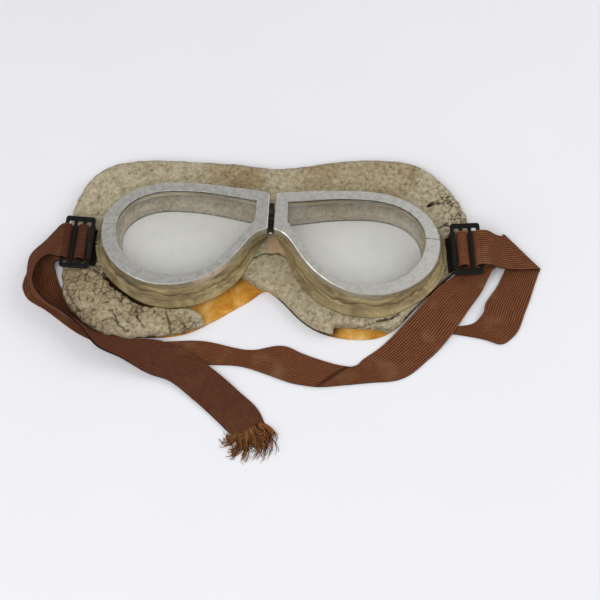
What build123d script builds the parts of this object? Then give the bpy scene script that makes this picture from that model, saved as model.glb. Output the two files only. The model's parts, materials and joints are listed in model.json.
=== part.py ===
# Folding eye goggles with sponge face pad and elastic head strap, lying on the face side, lenses up
from build123d import *
from math import ceil, cos, sin, radians, hypot
import os

os.makedirs("parts", exist_ok=True)

# Driving dimensions, millimetres
overrun = 1.0                 # how far a cut passes the surface it leaves
half_span = 100.0             # nose to the middle of a strap slide

# Rims and their tilt
nose_height = 27.0            # rim face above the table at the nose
wrap = 4.5                    # slope of each rim down towards its temple, degrees
rim_depth = 5.5
flange = 0.9                  # rim metal over the lens
lens_lap = 1.4                # lens beyond the aperture
gasket_wall = 0.8
gasket_lip = 0.5              # gasket over and under the lens
lens_thickness = 2.0
collar_clear = 0.05
cup_step = 0.8                # cup set in from the rim outline
cup_wall = 1.8
shoulder = 1.5
bore_ease = 0.3               # eye bore of gasket and cup beyond the aperture
rim_edge_break = 0.4
rim_corner = 1.6
cup_lip = 1.2                 # height of the lip round the cup's foot

# Rim split and joint block at the temple
split_y = 5.5
split_width = 0.25
split_groove = 0.9            # width of the bevelled groove over the split
block_x = 83.4
block_width = 2.2
block_length = 10.8
block_height = 3.8
block_clear = 0.1
screw_pitch = 6.4
screw_radius = 0.7
screw_seat_x = 86.2
screw_reach = 3.2
screw_head_radius = 1.2
screw_head = 0.7
screw_slot = 0.35
hole_clear = 0.05

# Bridge hinge
hinge_start = 3.4
hinge_length = 17.0
knuckles = 5
knuckle_gap = 0.3
knuckle_radius = 0.95
pin_radius = 0.5
pin_clear = 0.05
pin_stub = 0.3
pin_head_radius = 1.0
pin_head = 0.7
leaf_thickness = 1.0
leaf_near = 1.3
leaf_far = 4.4
leaf_clear = 0.05
rivet_pitch = 10.2
rivet_radius = 0.75
rivet_head_radius = 1.25
rivet_head = 0.45
rivet_depth = 3.0

# Face pad, lining and cups
lining_thickness = 0.8
pad_top = 8.0
pad_mid = 4.6
pad_low = 2.2
pad_high = 6.7
pad_tuck = 2.5                # sides drawn in at the bottom edge
pad_low_tuck = 0.6
pad_high_tuck = 0.8
pad_crown = 2.8
lining_tuck = 0.4
opening_inset = 1.2
vent_x, vent_y, vent_z = 6.4, 2.0, 18.0
vent_heading = -36.0
vent_pitch = 2.1
vent_long = 3.0
vent_wide = 1.2
vent_count = 4
vent_reach = 3.0

# Strap slides and tabs
slide_height = 14.2           # mid plane of both slides
bar_width = 1.9
slot_width = 2.6
slide_thickness = 1.6
slide_length = 29.5
slot_length = 24.5
slide_corner = 1.6
bar_round = 0.5
bars = 4
left_slide_at = (-99.8, -3.6, 178.0)
right_slide_at = (101.3, 3.6, 6.0)
tab_width = 19.8
tab_thickness = 0.5
tab_fit = 0.08
tab_neck = 1.0
tab_foot = 6.4
tab_foot_thickness = 0.8
tab_foot_clear = 0.05

# Head strap
strap_width = 19.5
strap_thickness = 1.2
strap_clear = 0.35
strap_rest = 0.8              # strap mid plane above the table where it lies flat
strap_pace = 6.0              # longest stretch of strap between two sections
strap_first_slot = 2.5        # strap centre from the inner bar where it first comes up
strap_under = 3.25            # lower strap run below the slide mid plane
fray_base = 0.2
fray_thickness = 1.2

# Outline of the right rim as shares of the half span, from the foot of its straight nose side round by the temple
rim_shares = (
    (0.0125, 0.030), (0.055, 0.018), (0.090, -0.010), (0.135, -0.070), (0.210, -0.163), (0.330, -0.250),
    (0.415, -0.282), (0.500, -0.292), (0.590, -0.285), (0.715, -0.234), (0.808, -0.153), (0.862, -0.052),
    (0.871, 0.030), (0.850, 0.115), (0.780, 0.206), (0.665, 0.270), (0.535, 0.294), (0.370, 0.289),
    (0.200, 0.270), (0.085, 0.254), (0.0125, 0.240),
)
# How far the foot of the cup stands out past each of those points, and its lip past the foot
cup_flare_shares = (
    -0.030, -0.006, 0.010, 0.022, 0.032, 0.037, 0.038, 0.038, 0.038, 0.039, 0.042, 0.040, 0.037, 0.035, 0.034,
    0.029, 0.028, 0.026, 0.018, 0.004, -0.032,
)
cup_lip_shares = (
    0.003, 0.004, 0.007, 0.014, 0.022, 0.025, 0.025, 0.025, 0.022, 0.010, 0.004, 0.003, 0.003, 0.003, 0.003,
    0.003, 0.003, 0.003, 0.003, 0.003, 0.003,
)
# Clear view through the right rim, from the blunt lower corner at the nose to the sharp upper one
aperture_shares = (
    (0.079, 0.085), (0.132, 0.005), (0.235, -0.133), (0.300, -0.194), (0.380, -0.227), (0.465, -0.239),
    (0.550, -0.232), (0.635, -0.206), (0.705, -0.160), (0.756, -0.102), (0.786, -0.035), (0.796, 0.030),
    (0.788, 0.095), (0.755, 0.155), (0.695, 0.205), (0.620, 0.236), (0.530, 0.249), (0.420, 0.248),
    (0.300, 0.236), (0.180, 0.215), (0.077, 0.197),
)
# Edge of the face pad at its widest, from the notch under the nose round by the right temple
pad_shares = (
    (0.000, -0.210), (0.065, -0.255), (0.150, -0.340), (0.250, -0.410), (0.340, -0.440), (0.485, -0.450),
    (0.585, -0.432), (0.650, -0.395), (0.710, -0.332), (0.770, -0.254), (0.835, -0.180), (0.970, -0.035),
    (1.020, 0.040), (1.040, 0.140), (1.020, 0.253), (0.965, 0.365), (0.875, 0.474), (0.745, 0.560),
    (0.570, 0.585), (0.355, 0.567), (0.145, 0.524), (-0.005, 0.504), (-0.155, 0.514), (-0.370, 0.522),
    (-0.630, 0.520), (-0.840, 0.488), (-0.960, 0.408), (-1.025, 0.295), (-1.055, 0.185), (-1.072, 0.040),
    (-1.077, -0.120), (-1.052, -0.265), (-0.985, -0.376), (-0.880, -0.454), (-0.740, -0.494), (-0.535, -0.494),
    (-0.400, -0.465), (-0.325, -0.424), (-0.235, -0.366), (-0.150, -0.305), (-0.075, -0.250),
)
# Sponge that has crumbled away at the lower left, with the long crack beside the cup
torn_gap_shares = (
    (-0.860, -0.190), (-0.800, -0.262), (-0.700, -0.325), (-0.600, -0.365), (-0.560, -0.350), (-0.500, -0.360),
    (-0.400, -0.352), (-0.375, -0.354), (-0.330, -0.392), (-0.320, -0.430), (-0.342, -0.462), (-0.315, -0.505),
    (-0.200, -0.450), (-0.060, -0.320), (0.005, -0.240), (0.000, -0.222), (-0.032, -0.203), (-0.070, -0.178),
    (-0.123, -0.152), (-0.166, -0.132), (-0.200, -0.160), (-0.300, -0.250), (-0.400, -0.300), (-0.500, -0.312),
    (-0.600, -0.304), (-0.690, -0.275), (-0.770, -0.220), (-0.840, -0.155),
)
# Cracks through the sponge at both ends of the right cup, and the bite that bares the lining below it
upper_crack_shares = (
    (0.762, 0.275), (0.800, 0.312), (0.875, 0.350), (0.926, 0.376), (0.930, 0.368), (0.880, 0.338), (0.808, 0.300),
)
lower_crack_shares = (
    (0.545, -0.368), (0.606, -0.352), (0.664, -0.314), (0.670, -0.322), (0.610, -0.364), (0.560, -0.380),
)
bite_shares = (
    (0.345, -0.394), (0.470, -0.390), (0.590, -0.392), (0.606, -0.410), (0.600, -0.480), (0.350, -0.490),
)

# Strap edges as shares of the half span and, in height, of the way from the table up to the slides
# Beyond the right slide, from the tucked end up to the outer bar: left edge, right edge
right_tail_shares = (
    ((0.955, -0.350, 0.000), (0.950, -0.385, 0.000)), ((1.075, -0.315, 0.015), (1.125, -0.410, 0.000)),
    ((1.105, -0.280, 0.120), (1.215, -0.430, 0.000)), ((1.115, -0.260, 0.165), (1.275, -0.380, 0.000)),
    ((1.125, -0.210, 0.090), (1.330, -0.245, 0.000)), ((1.200, -0.070, 0.010), (1.380, -0.085, 0.000)),
    ((1.240, 0.075, 0.010), (1.400, -0.020, 0.015)), ((1.225, 0.175, 0.035), (1.405, -0.005, 0.035)),
    ((1.220, 0.185, 0.110), (1.405, 0.000, 0.110)), ((1.215, 0.185, 0.185), (1.395, -0.005, 0.185)),
    ((1.200, 0.170, 0.285), (1.300, -0.020, 0.255)), ((1.165, 0.155, 0.600), (1.190, -0.035, 0.580)),
    ((1.105, 0.145, 1.080), (1.130, -0.052, 1.075)),
)
# From below the right slide along the table and up to the left slide
main_shares = (
    ((1.010, 0.140, 0.757), (1.055, -0.060, 0.757)), ((1.035, 0.158, 0.757), (1.150, -0.040, 0.757)),
    ((1.045, 0.160, 0.748), (1.161, -0.040, 0.748)), ((1.050, 0.158, 0.700), (1.166, -0.041, 0.700)),
    ((1.044, 0.153, 0.650), (1.163, -0.044, 0.650)), ((1.028, 0.140, 0.640), (1.156, -0.047, 0.634)),
    ((0.988, 0.030, 0.642), (1.140, -0.075, 0.515)), ((0.970, -0.072, 0.642), (1.105, -0.150, 0.290)),
    ((0.870, -0.168, 0.600), (1.035, -0.260, 0.170)), ((0.735, -0.325, 0.260), (0.955, -0.395, 0.120)),
    ((0.605, -0.470, 0.015), (0.845, -0.530, 0.010)), ((0.500, -0.560, 0.000), (0.670, -0.662, 0.000)),
    ((0.480, -0.585, 0.010), (0.545, -0.680, 0.000)), ((0.455, -0.597, 0.030), (0.420, -0.700, 0.010)),
    ((0.435, -0.600, 0.035), (0.305, -0.717, 0.020)), ((0.365, -0.590, 0.010), (0.190, -0.710, 0.000)),
    ((0.195, -0.540, 0.000), (0.085, -0.685, 0.000)), ((0.115, -0.507, 0.000), (0.040, -0.670, 0.000)),
    ((-0.065, -0.535, 0.000), (-0.100, -0.630, 0.000)), ((-0.310, -0.500, 0.000), (-0.335, -0.625, 0.000)),
    ((-0.600, -0.515, 0.000), (-0.640, -0.585, 0.000)), ((-0.900, -0.455, 0.000), (-0.955, -0.495, 0.000)),
    ((-1.015, -0.352, 0.000), (-1.135, -0.375, 0.000)), ((-1.078, -0.240, 0.000), (-1.260, -0.290, 0.000)),
    ((-1.095, -0.205, 0.010), (-1.278, -0.245, 0.000)), ((-1.110, -0.165, 0.060), (-1.265, -0.165, 0.030)),
    ((-1.120, -0.137, 0.400), (-1.195, -0.040, 0.315)), ((-1.090, -0.130, 0.730), (-1.108, 0.045, 0.715)),
)
# Beyond the left slide, from the outer bar round the loop to the frayed end
left_tail_shares = (
    ((-1.086, -0.134, 1.127), (-1.088, 0.055, 1.090)), ((-1.113, -0.130, 1.210), (-1.118, 0.028, 0.940)),
    ((-1.144, -0.138, 1.245), (-1.160, -0.010, 0.715)), ((-1.193, -0.207, 1.170), (-1.250, -0.083, 0.255)),
    ((-1.198, -0.257, 1.135), (-1.258, -0.142, 0.155)), ((-1.185, -0.306, 1.120), (-1.250, -0.210, 0.127)),
    ((-1.148, -0.353, 1.105), (-1.223, -0.272, 0.127)), ((-1.020, -0.438, 1.060), (-1.075, -0.376, 0.127)),
    ((-0.936, -0.501, 1.030), (-0.981, -0.424, 0.127)), ((-0.835, -0.604, 0.910), (-0.866, -0.486, 0.157)),
    ((-0.720, -0.645, 0.650), (-0.720, -0.511, 0.165)), ((-0.560, -0.708, 0.195), (-0.510, -0.522, 0.150)),
    ((-0.488, -0.724, 0.120), (-0.420, -0.555, 0.150)), ((-0.340, -0.822, 0.030), (-0.236, -0.668, 0.120)),
    ((-0.250, -0.895, 0.000), (-0.110, -0.768, 0.030)), ((-0.165, -0.972, 0.000), (-0.008, -0.860, 0.000)),
    ((-0.109, -1.025, 0.000), (0.032, -0.935, 0.000)),
)
fray_shares = (
    (-0.120, -1.005), (-0.150, -1.060), (-0.105, -1.060), (-0.095, -1.150), (-0.060, -1.080), (-0.030, -1.180),
    (-0.010, -1.080), (0.045, -1.140), (0.040, -1.040), (0.105, -1.070), (0.075, -0.990), (0.110, -0.970),
    (0.020, -0.925),
)

# Values that follow from the dimensions above
pin_drop = rim_depth - leaf_thickness / 2
pin_height = nose_height - pin_drop * cos(radians(wrap))
knuckle_length = hinge_length / knuckles
rivet_x = (leaf_near + leaf_far) / 2
bar_pitch = bar_width + slot_width
slide_width = bars * bar_width + (bars - 1) * slot_width
strap_rise = slide_thickness / 2 + strap_clear + strap_thickness / 2
rim_plane = Plane(
    origin=(pin_drop * sin(radians(wrap)), 0, nose_height),
    x_dir=(cos(radians(wrap)), 0, -sin(radians(wrap))),
    z_dir=(sin(radians(wrap)), 0, cos(radians(wrap))),
)
lens_top = flange + gasket_lip
gasket_floor = lens_top + lens_thickness + gasket_lip


def sized(shares):
    """Places of an outline given as shares of the half span."""
    return [(x * half_span, y * half_span) for x, y in shares]


rim_outline = sized(rim_shares)
aperture = sized(aperture_shares)
pad_outline = sized(pad_shares)
cup_flare = [share * half_span for share in cup_flare_shares]
cup_inside = [flare - cup_wall for flare in cup_flare]
cup_middle = [flare - cup_wall / 2 for flare in cup_flare]
cup_lip_reach = [flare + share * half_span for flare, share in zip(cup_flare, cup_lip_shares)]


def grown(points, amounts):
    """Corners of a loop moved outwards, each by its own amount, so that straight sides stay straight."""
    count = len(points)
    normals = []
    for k in range(count):
        (x, y), (u, v) = points[k], points[(k + 1) % count]
        size = hypot(u - x, v - y)
        normals.append(((v - y) / size, (x - u) / size))
    moved = []
    for k in range(count):
        (a, b), (c, d) = normals[k - 1], normals[k]
        amount = amounts[k] if isinstance(amounts, list) else amounts
        reach = amount / (1 + a * c + b * d)
        moved.append((points[k][0] + (a + c) * reach, points[k][1] + (b + d) * reach))
    return moved


def loop_face(points, amounts=0):
    """Filled smooth loop through the points, grown by the amounts."""
    with BuildSketch(mode=Mode.PRIVATE) as loop:
        with BuildLine():
            Spline(*(grown(points, amounts)), periodic=True)
        make_face()
    return loop.sketch


def eye_face(points, amounts=0, corner=0):
    """Filled loop round one eye, its nose side straight, grown by the amounts."""
    placed = grown(points, amounts)
    with BuildSketch(mode=Mode.PRIVATE) as loop:
        with BuildLine():
            Spline(*placed)
            Line(placed[-1], placed[0])
        make_face()
        if corner:
            fillet(loop.vertices(), radius=corner)
    return loop.sketch


def mirrored(part):
    """The same piece on the other side of the nose."""
    return mirror(part, about=Plane.YZ, mode=Mode.PRIVATE)


# Plane through the joint block at the temple, where its two screws enter
screw_plane = Plane(
    origin=rim_plane.from_local_coords((block_x, split_y, block_height / 2 - rim_depth)),
    x_dir=(0, 1, 0),
    z_dir=rim_plane.x_dir,
)

# Right rim: flanged metal frame, split at the temple, hollow for the joint block, seat for the hinge leaf
with BuildPart() as right_rim:
    with BuildSketch(rim_plane):
        add(eye_face(rim_outline, corner=rim_corner))
    extrude(amount=-rim_depth)
    front = Axis(rim_plane.origin, rim_plane.z_dir)
    chamfer(right_rim.faces().sort_by(front)[-1].edges(), length=rim_edge_break)
    with BuildSketch(rim_plane.offset(overrun)):
        add(eye_face(aperture))
    extrude(amount=-rim_depth - 2 * overrun, mode=Mode.SUBTRACT)
    with BuildSketch(rim_plane.offset(-flange)):
        add(eye_face(aperture, lens_lap + gasket_wall))
    extrude(amount=-rim_depth, mode=Mode.SUBTRACT)
    with BuildSketch(rim_plane.offset(-rim_depth)):
        with Locations((block_x, split_y)):
            Rectangle(block_width + 2 * block_clear, block_length + 2 * block_clear)
    extrude(amount=block_height + block_clear, mode=Mode.SUBTRACT)
    with BuildSketch(rim_plane.offset(-rim_depth)):
        with Locations(((leaf_near + leaf_far) / 2, hinge_start + hinge_length / 2)):
            Rectangle(leaf_far - leaf_near + 2 * leaf_clear, hinge_length + 2 * leaf_clear)
        with Locations((0, hinge_start + hinge_length / 2)):
            Rectangle(2 * leaf_near, hinge_length + 2 * leaf_clear)
    extrude(amount=leaf_thickness + leaf_clear, mode=Mode.SUBTRACT)
    with BuildSketch(rim_plane.offset(-rim_depth)):
        with Locations((rivet_x, hinge_start + hinge_length / 2)):
            with GridLocations(rivet_pitch, rivet_pitch, 1, 2):
                Circle(rivet_radius + hole_clear)
    extrude(amount=leaf_thickness + rivet_depth + hole_clear, mode=Mode.SUBTRACT)
    with BuildSketch(rim_plane.offset(overrun)):
        with Locations((block_x, split_y)):
            Rectangle(block_x / 4, split_width)
    extrude(amount=-rim_depth - 2 * overrun, mode=Mode.SUBTRACT)
    with BuildSketch(screw_plane):
        groove_top = rim_depth - block_height / 2
        with BuildLine():
            Polyline(
                (-split_groove / 2, groove_top), (split_groove / 2, groove_top),
                (0, groove_top - split_groove / 2), close=True,
            )
        make_face()
    extrude(amount=block_x / 8, both=True, mode=Mode.SUBTRACT)
    with BuildSketch(screw_plane):
        with GridLocations(screw_pitch, screw_pitch, 2, 1):
            Circle(screw_radius + hole_clear)
    extrude(amount=block_width * 3, mode=Mode.SUBTRACT)
    with BuildSketch(screw_plane.offset(screw_seat_x - block_x)):
        with GridLocations(screw_pitch, screw_pitch, 2, 1):
            Circle(screw_head_radius + hole_clear)
    extrude(amount=block_width * 3, mode=Mode.SUBTRACT)

# Lens: flat glass held in the gasket
with BuildPart() as right_lens:
    with BuildSketch(rim_plane.offset(-lens_top)):
        add(eye_face(aperture, lens_lap))
    extrude(amount=-lens_thickness)

# Gasket: rubber channel round the lens edge
with BuildPart() as right_gasket:
    with BuildSketch(rim_plane.offset(-flange)):
        add(eye_face(aperture, lens_lap + gasket_wall))
        add(eye_face(aperture, bore_ease), mode=Mode.SUBTRACT)
    extrude(amount=flange - gasket_floor)
    with BuildSketch(rim_plane.offset(-lens_top)):
        add(eye_face(aperture, lens_lap))
    extrude(amount=-lens_thickness, mode=Mode.SUBTRACT)

# Eyecup: moulded wall flaring from the rim to the pad, shoulder and collar that carry the lens
foot_plane = Plane.XY.offset(pad_top)
with BuildPart() as right_eyecup:
    with BuildSketch(foot_plane):
        add(eye_face(rim_outline, cup_flare))
    with BuildSketch(rim_plane.offset(-rim_depth)):
        add(eye_face(rim_outline, -cup_step))
    loft()
    with BuildSketch(foot_plane):
        add(eye_face(rim_outline, cup_inside))
    with BuildSketch(rim_plane.offset(-rim_depth - shoulder)):
        add(eye_face(rim_outline, -cup_step - cup_wall))
    loft(mode=Mode.SUBTRACT)
    with BuildSketch(foot_plane):
        add(eye_face(rim_outline, cup_lip_reach))
        add(eye_face(rim_outline, cup_middle), mode=Mode.SUBTRACT)
    extrude(amount=cup_lip)
    with BuildSketch(rim_plane.offset(-gasket_floor)):
        add(eye_face(aperture, lens_lap + gasket_wall - collar_clear))
    extrude(amount=gasket_floor - rim_depth - shoulder)
    with BuildSketch(rim_plane):
        add(eye_face(aperture, bore_ease))
    extrude(amount=-rim_depth - 2 * shoulder, mode=Mode.SUBTRACT)
    vent_plane = Plane(
        origin=(vent_x, vent_y, vent_z),
        x_dir=(cos(radians(vent_heading)), sin(radians(vent_heading)), 0),
        z_dir=(sin(radians(vent_heading)), -cos(radians(vent_heading)), 0),
    )
    with BuildSketch(vent_plane):
        with GridLocations(vent_pitch, vent_pitch, vent_count, 1):
            SlotOverall(vent_long, vent_wide, rotation=90)
    extrude(amount=vent_reach, both=True, mode=Mode.SUBTRACT)

# Joint block and its two screws, closing the split rim from inside
with BuildPart() as right_joint_block:
    with BuildSketch(rim_plane.offset(-rim_depth)):
        with Locations((block_x, split_y)):
            Rectangle(block_width, block_length)
    extrude(amount=block_height)
    with BuildSketch(screw_plane.offset(-block_width)):
        with GridLocations(screw_pitch, screw_pitch, 2, 1):
            Circle(screw_radius + hole_clear)
    extrude(amount=block_width * 3, mode=Mode.SUBTRACT)


def joint_screw(side):
    """One screw of the joint block, side picks which end of the block."""
    with BuildPart() as screw:
        with BuildSketch(screw_plane.offset(screw_seat_x - block_x)):
            with Locations((side * screw_pitch / 2, 0)):
                Circle(screw_head_radius)
        extrude(amount=screw_head)
        with BuildSketch(screw_plane.offset(screw_seat_x - block_x + screw_head)):
            with Locations((side * screw_pitch / 2, 0)):
                Rectangle(2 * screw_head_radius + overrun, screw_slot)
        extrude(amount=-screw_head / 2, mode=Mode.SUBTRACT)
        with BuildSketch(screw_plane.offset(screw_seat_x - block_x)):
            with Locations((side * screw_pitch / 2, 0)):
                Circle(screw_radius)
        extrude(amount=-screw_reach)
    return screw.part


# Bridge hinge leaves with interleaved knuckles on one pin
def hinge_leaf(own, bore):
    """Leaf on the right side holding the knuckles in own, bored to the radius given."""
    with BuildPart() as leaf:
        with BuildSketch(rim_plane.offset(-rim_depth)):
            with Locations(((leaf_near + leaf_far) / 2, hinge_start + hinge_length / 2)):
                Rectangle(leaf_far - leaf_near, hinge_length)
            for index in own:
                with Locations((leaf_near / 2, hinge_start + (index + 1 / 2) * knuckle_length)):
                    Rectangle(leaf_near + overrun / 4, knuckle_length - knuckle_gap)
        extrude(amount=leaf_thickness)
        for index in own:
            start = hinge_start + index * knuckle_length + knuckle_gap / 2
            with BuildSketch(Plane.XZ.offset(-start)):
                with Locations((0, pin_height)):
                    Circle(knuckle_radius)
            extrude(amount=-(knuckle_length - knuckle_gap))
        with BuildSketch(Plane.XZ.offset(-hinge_start + overrun)):
            with Locations((0, pin_height)):
                Circle(bore)
        extrude(amount=-hinge_length - 2 * overrun, mode=Mode.SUBTRACT)
        with BuildSketch(rim_plane.offset(-rim_depth)):
            with Locations((rivet_x, hinge_start + hinge_length / 2)):
                with GridLocations(rivet_pitch, rivet_pitch, 1, 2):
                    Circle(rivet_radius + hole_clear)
        extrude(amount=leaf_thickness + overrun, mode=Mode.SUBTRACT)
        with BuildSketch(rim_plane.offset(-rim_depth)):
            with Locations((rivet_x, hinge_start + hinge_length / 2)):
                with GridLocations(rivet_pitch, rivet_pitch, 1, 2):
                    Circle(rivet_head_radius + hole_clear)
        extrude(amount=rivet_head + hole_clear, mode=Mode.SUBTRACT)
    return leaf.part


def leaf_rivet(side):
    """Flush rivet that holds a leaf up into the rim."""
    with BuildPart() as rivet:
        with BuildSketch(rim_plane.offset(-rim_depth)):
            with Locations((rivet_x, hinge_start + hinge_length / 2 + side * rivet_pitch / 2)):
                Circle(rivet_head_radius)
        extrude(amount=rivet_head)
        with BuildSketch(rim_plane.offset(-rim_depth)):
            with Locations((rivet_x, hinge_start + hinge_length / 2 + side * rivet_pitch / 2)):
                Circle(rivet_radius)
        extrude(amount=leaf_thickness + rivet_depth)
    return rivet.part


# Hinge pin, headed at the lower end
with BuildPart() as hinge_pin:
    with BuildSketch(Plane.XZ.offset(-hinge_start + pin_stub)):
        with Locations((0, pin_height)):
            Circle(pin_radius)
    extrude(amount=-hinge_length - 2 * pin_stub)
    with BuildSketch(Plane.XZ.offset(-hinge_start + pin_stub)):
        with Locations((0, pin_height)):
            Circle(pin_head_radius)
    extrude(amount=pin_head)
    fillet(hinge_pin.faces().sort_by(Axis.Y)[0].edges(), radius=pin_head / 2)


# Slides: enamelled plates with three slots, ends and bars rounded
def slide_plane(place):
    """Plane of a slide: centre on the mid height, first axis pointing outwards."""
    x, y, heading = place
    return Plane(
        origin=(x, y, slide_height),
        x_dir=(cos(radians(heading)), sin(radians(heading)), 0),
        z_dir=(0, 0, 1),
    )


def strap_slide(place):
    """Slide standing at its place."""
    with BuildPart() as slide:
        with BuildSketch(slide_plane(place).offset(-slide_thickness / 2)):
            RectangleRounded(slide_width, slide_length, slide_corner)
            with GridLocations(bar_pitch, bar_pitch, bars - 1, 1):
                RectangleRounded(slot_width, slot_length, slot_width / 3, mode=Mode.SUBTRACT)
        extrude(amount=slide_thickness)
        fillet(slide.faces().filter_by(GeomType.PLANE).filter_by(Axis.Z).edges(), radius=bar_round)
    return slide.part


def slide_tab(place):
    """Fabric tab: loop on the inner bar, neck, and foot let into the pad."""
    base = slide_plane(place)
    inner = slide_width / 2 - bar_width / 2
    across = Plane(origin=base.from_local_coords((-inner, 0, 0)), x_dir=base.x_dir, z_dir=-base.y_dir)
    drop = slide_height - pad_top
    wall = tab_fit + tab_thickness
    with BuildPart() as tab:
        with BuildSketch(across):
            RectangleRounded(bar_width + 2 * wall, slide_thickness + 2 * wall, bar_round + wall)
            top = slide_thickness / 2 + wall / 2
            with Locations((0, -(drop + top) / 2)):
                Rectangle(tab_neck, drop - top)
            with Locations(((tab_neck / 2 - tab_foot) / 2, -drop - tab_foot_thickness / 2)):
                Rectangle(tab_foot + tab_neck / 2, tab_foot_thickness)
            RectangleRounded(
                bar_width + 2 * tab_fit, slide_thickness + 2 * tab_fit, bar_round + tab_fit, mode=Mode.SUBTRACT
            )
        extrude(amount=tab_width / 2, both=True)
    return tab.part


# Face pad: sponge with a crowned top and drawn in sides, torn at the lower left, recessed for the tabs
pad_section = (
    (lining_thickness, pad_tuck), (pad_low, pad_low_tuck), (pad_mid, 0), (pad_high, pad_high_tuck), (pad_top, pad_crown),
)
with BuildPart() as face_pad:
    for height, tuck in pad_section:
        with BuildSketch(Plane.XY.offset(height)):
            add(loop_face(pad_outline, -tuck))
    loft()
    with BuildSketch(Plane.XY):
        add(eye_face(aperture, -opening_inset))
        add(mirror(eye_face(aperture, -opening_inset), about=Plane.YZ, mode=Mode.PRIVATE))
    extrude(amount=pad_top + overrun, mode=Mode.SUBTRACT)
    with BuildSketch(Plane.XY):
        for shares in (torn_gap_shares, upper_crack_shares, lower_crack_shares, bite_shares):
            with BuildLine():
                Polyline(*sized(shares), close=True)
            make_face()
    extrude(amount=pad_top + overrun, mode=Mode.SUBTRACT)
    for place in (left_slide_at, right_slide_at):
        base = slide_plane(place)
        inner = slide_width / 2 - bar_width / 2
        with BuildSketch(Plane(origin=base.origin, x_dir=base.x_dir, z_dir=base.z_dir).offset(pad_top - slide_height)):
            with Locations((-inner + (tab_neck / 2 - tab_foot) / 2, 0)):
                Rectangle(tab_foot + tab_neck / 2 + 2 * tab_foot_clear, tab_width + 2 * tab_foot_clear)
        extrude(amount=-tab_foot_thickness - tab_foot_clear, mode=Mode.SUBTRACT)

# Chamois lining: thin sheet over the whole face side
with BuildPart() as chamois_lining:
    with BuildSketch(Plane.XY):
        add(loop_face(pad_outline, -lining_tuck))
        add(eye_face(aperture, -opening_inset), mode=Mode.SUBTRACT)
        add(mirror(eye_face(aperture, -opening_inset), about=Plane.YZ, mode=Mode.PRIVATE), mode=Mode.SUBTRACT)
    extrude(amount=lining_thickness)


# Head strap: one elastic band threaded through both slides
def woven(place, hand):
    """Strap edges through a slide, from over the outer bar to the run beneath, hand picks the left edge."""
    base = slide_plane(place)
    first, half = -slide_width / 2 + bar_width / 2, bar_pitch / 2
    outer = -first
    steps = [(outer, strap_rise)]
    steps += [(outer - half * sin(radians(a)), strap_rise * cos(radians(a))) for a in (35, 65, 90)]
    third = outer - bar_pitch
    steps += [(third + half * sin(radians(a)), -strap_rise * cos(radians(a))) for a in (65, 35, 0)]
    steps += [(third - half * sin(radians(a)), -strap_rise * cos(radians(a))) for a in (35, 65, 90)]
    second = third - bar_pitch
    steps += [(second + half * sin(radians(a)), strap_rise * cos(radians(a))) for a in (65, 35, 0)]
    reach = second - first - strap_first_slot
    steps += [(second - reach * sin(radians(a)), strap_rise * cos(radians(a))) for a in (35, 65, 90)]
    foot = first + strap_first_slot
    turn = strap_under / 2
    steps += [(foot, -turn), (foot + turn * (1 - cos(radians(50))), -turn - turn * sin(radians(50))),
              (foot + turn, -strap_under), (foot + 2 * turn, -strap_under)]
    rows = []
    for s, z in steps:
        a = base.from_local_coords((s, hand * strap_width / 2, z))
        b = base.from_local_coords((s, -hand * strap_width / 2, z))
        rows.append([a, b])
    return rows


def laid(shares):
    """Strap edges of a run given as shares."""
    rise = slide_height - strap_rest
    return [[Vector(x * half_span, y * half_span, z * rise + strap_rest) for x, y, z in row] for row in shares]


def smoothed(rows):
    """The rows, with more between those that lie far apart, on a smooth curve for each edge."""
    steps = []
    for near, far in zip(rows, rows[1:]):
        left, right = far[0] - near[0], far[1] - near[1]
        steps.append(max((left + right).length / 2, left.length / 2, right.length / 2))
    last = len(rows) - 1

    def slope(k, edge):
        """How fast an edge moves along the course at row k, weighted from both sides."""
        behind = (rows[max(k, 1)][edge] - rows[max(k, 1) - 1][edge]) / steps[max(k, 1) - 1]
        ahead = (rows[min(k, last - 1) + 1][edge] - rows[min(k, last - 1)][edge]) / steps[min(k, last - 1)]
        if k in (0, last):
            return ahead if k == 0 else behind
        share = steps[k - 1] / (steps[k - 1] + steps[k])
        return behind * (1 - share) + ahead * share

    course = []
    for k in range(last):
        count = ceil(steps[k] / strap_pace)
        for t in [j / count for j in range(count)]:
            row = []
            for edge in (0, 1):
                start, end = rows[k][edge], rows[k + 1][edge]
                bend_in, bend_out = slope(k, edge) * steps[k], slope(k + 1, edge) * steps[k]
                held = start * (1 + 2 * t) + bend_in * t
                met = end * (3 - 2 * t) - bend_out * (1 - t)
                row.append(held * (1 - t) ** 2 + met * t ** 2)
            course.append(row)
    return course + [rows[last]]


strap_rows = laid(right_tail_shares) + woven(right_slide_at, 1) + laid(main_shares)
strap_rows += woven(left_slide_at, 1)[::-1] + laid(left_tail_shares)
strap_course = smoothed(strap_rows)
middles = [(a + b) / 2 for a, b in strap_course]
with BuildPart() as head_strap:
    for index, (a, b) in enumerate(strap_course):
        width = b - a
        across = width.normalized()
        ahead = middles[min(index + 1, len(middles) - 1)] - middles[max(index - 1, 0)]
        heading = ahead - across * ahead.dot(across)
        with BuildSketch(Plane(origin=middles[index], x_dir=across, z_dir=heading)):
            Rectangle(width.length, strap_thickness)
    loft(ruled=True)
    with BuildSketch(Plane.XY.offset(fray_base)):
        with BuildLine():
            Polyline(*sized(fray_shares), close=True)
        make_face()
    extrude(amount=fray_thickness)

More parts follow.
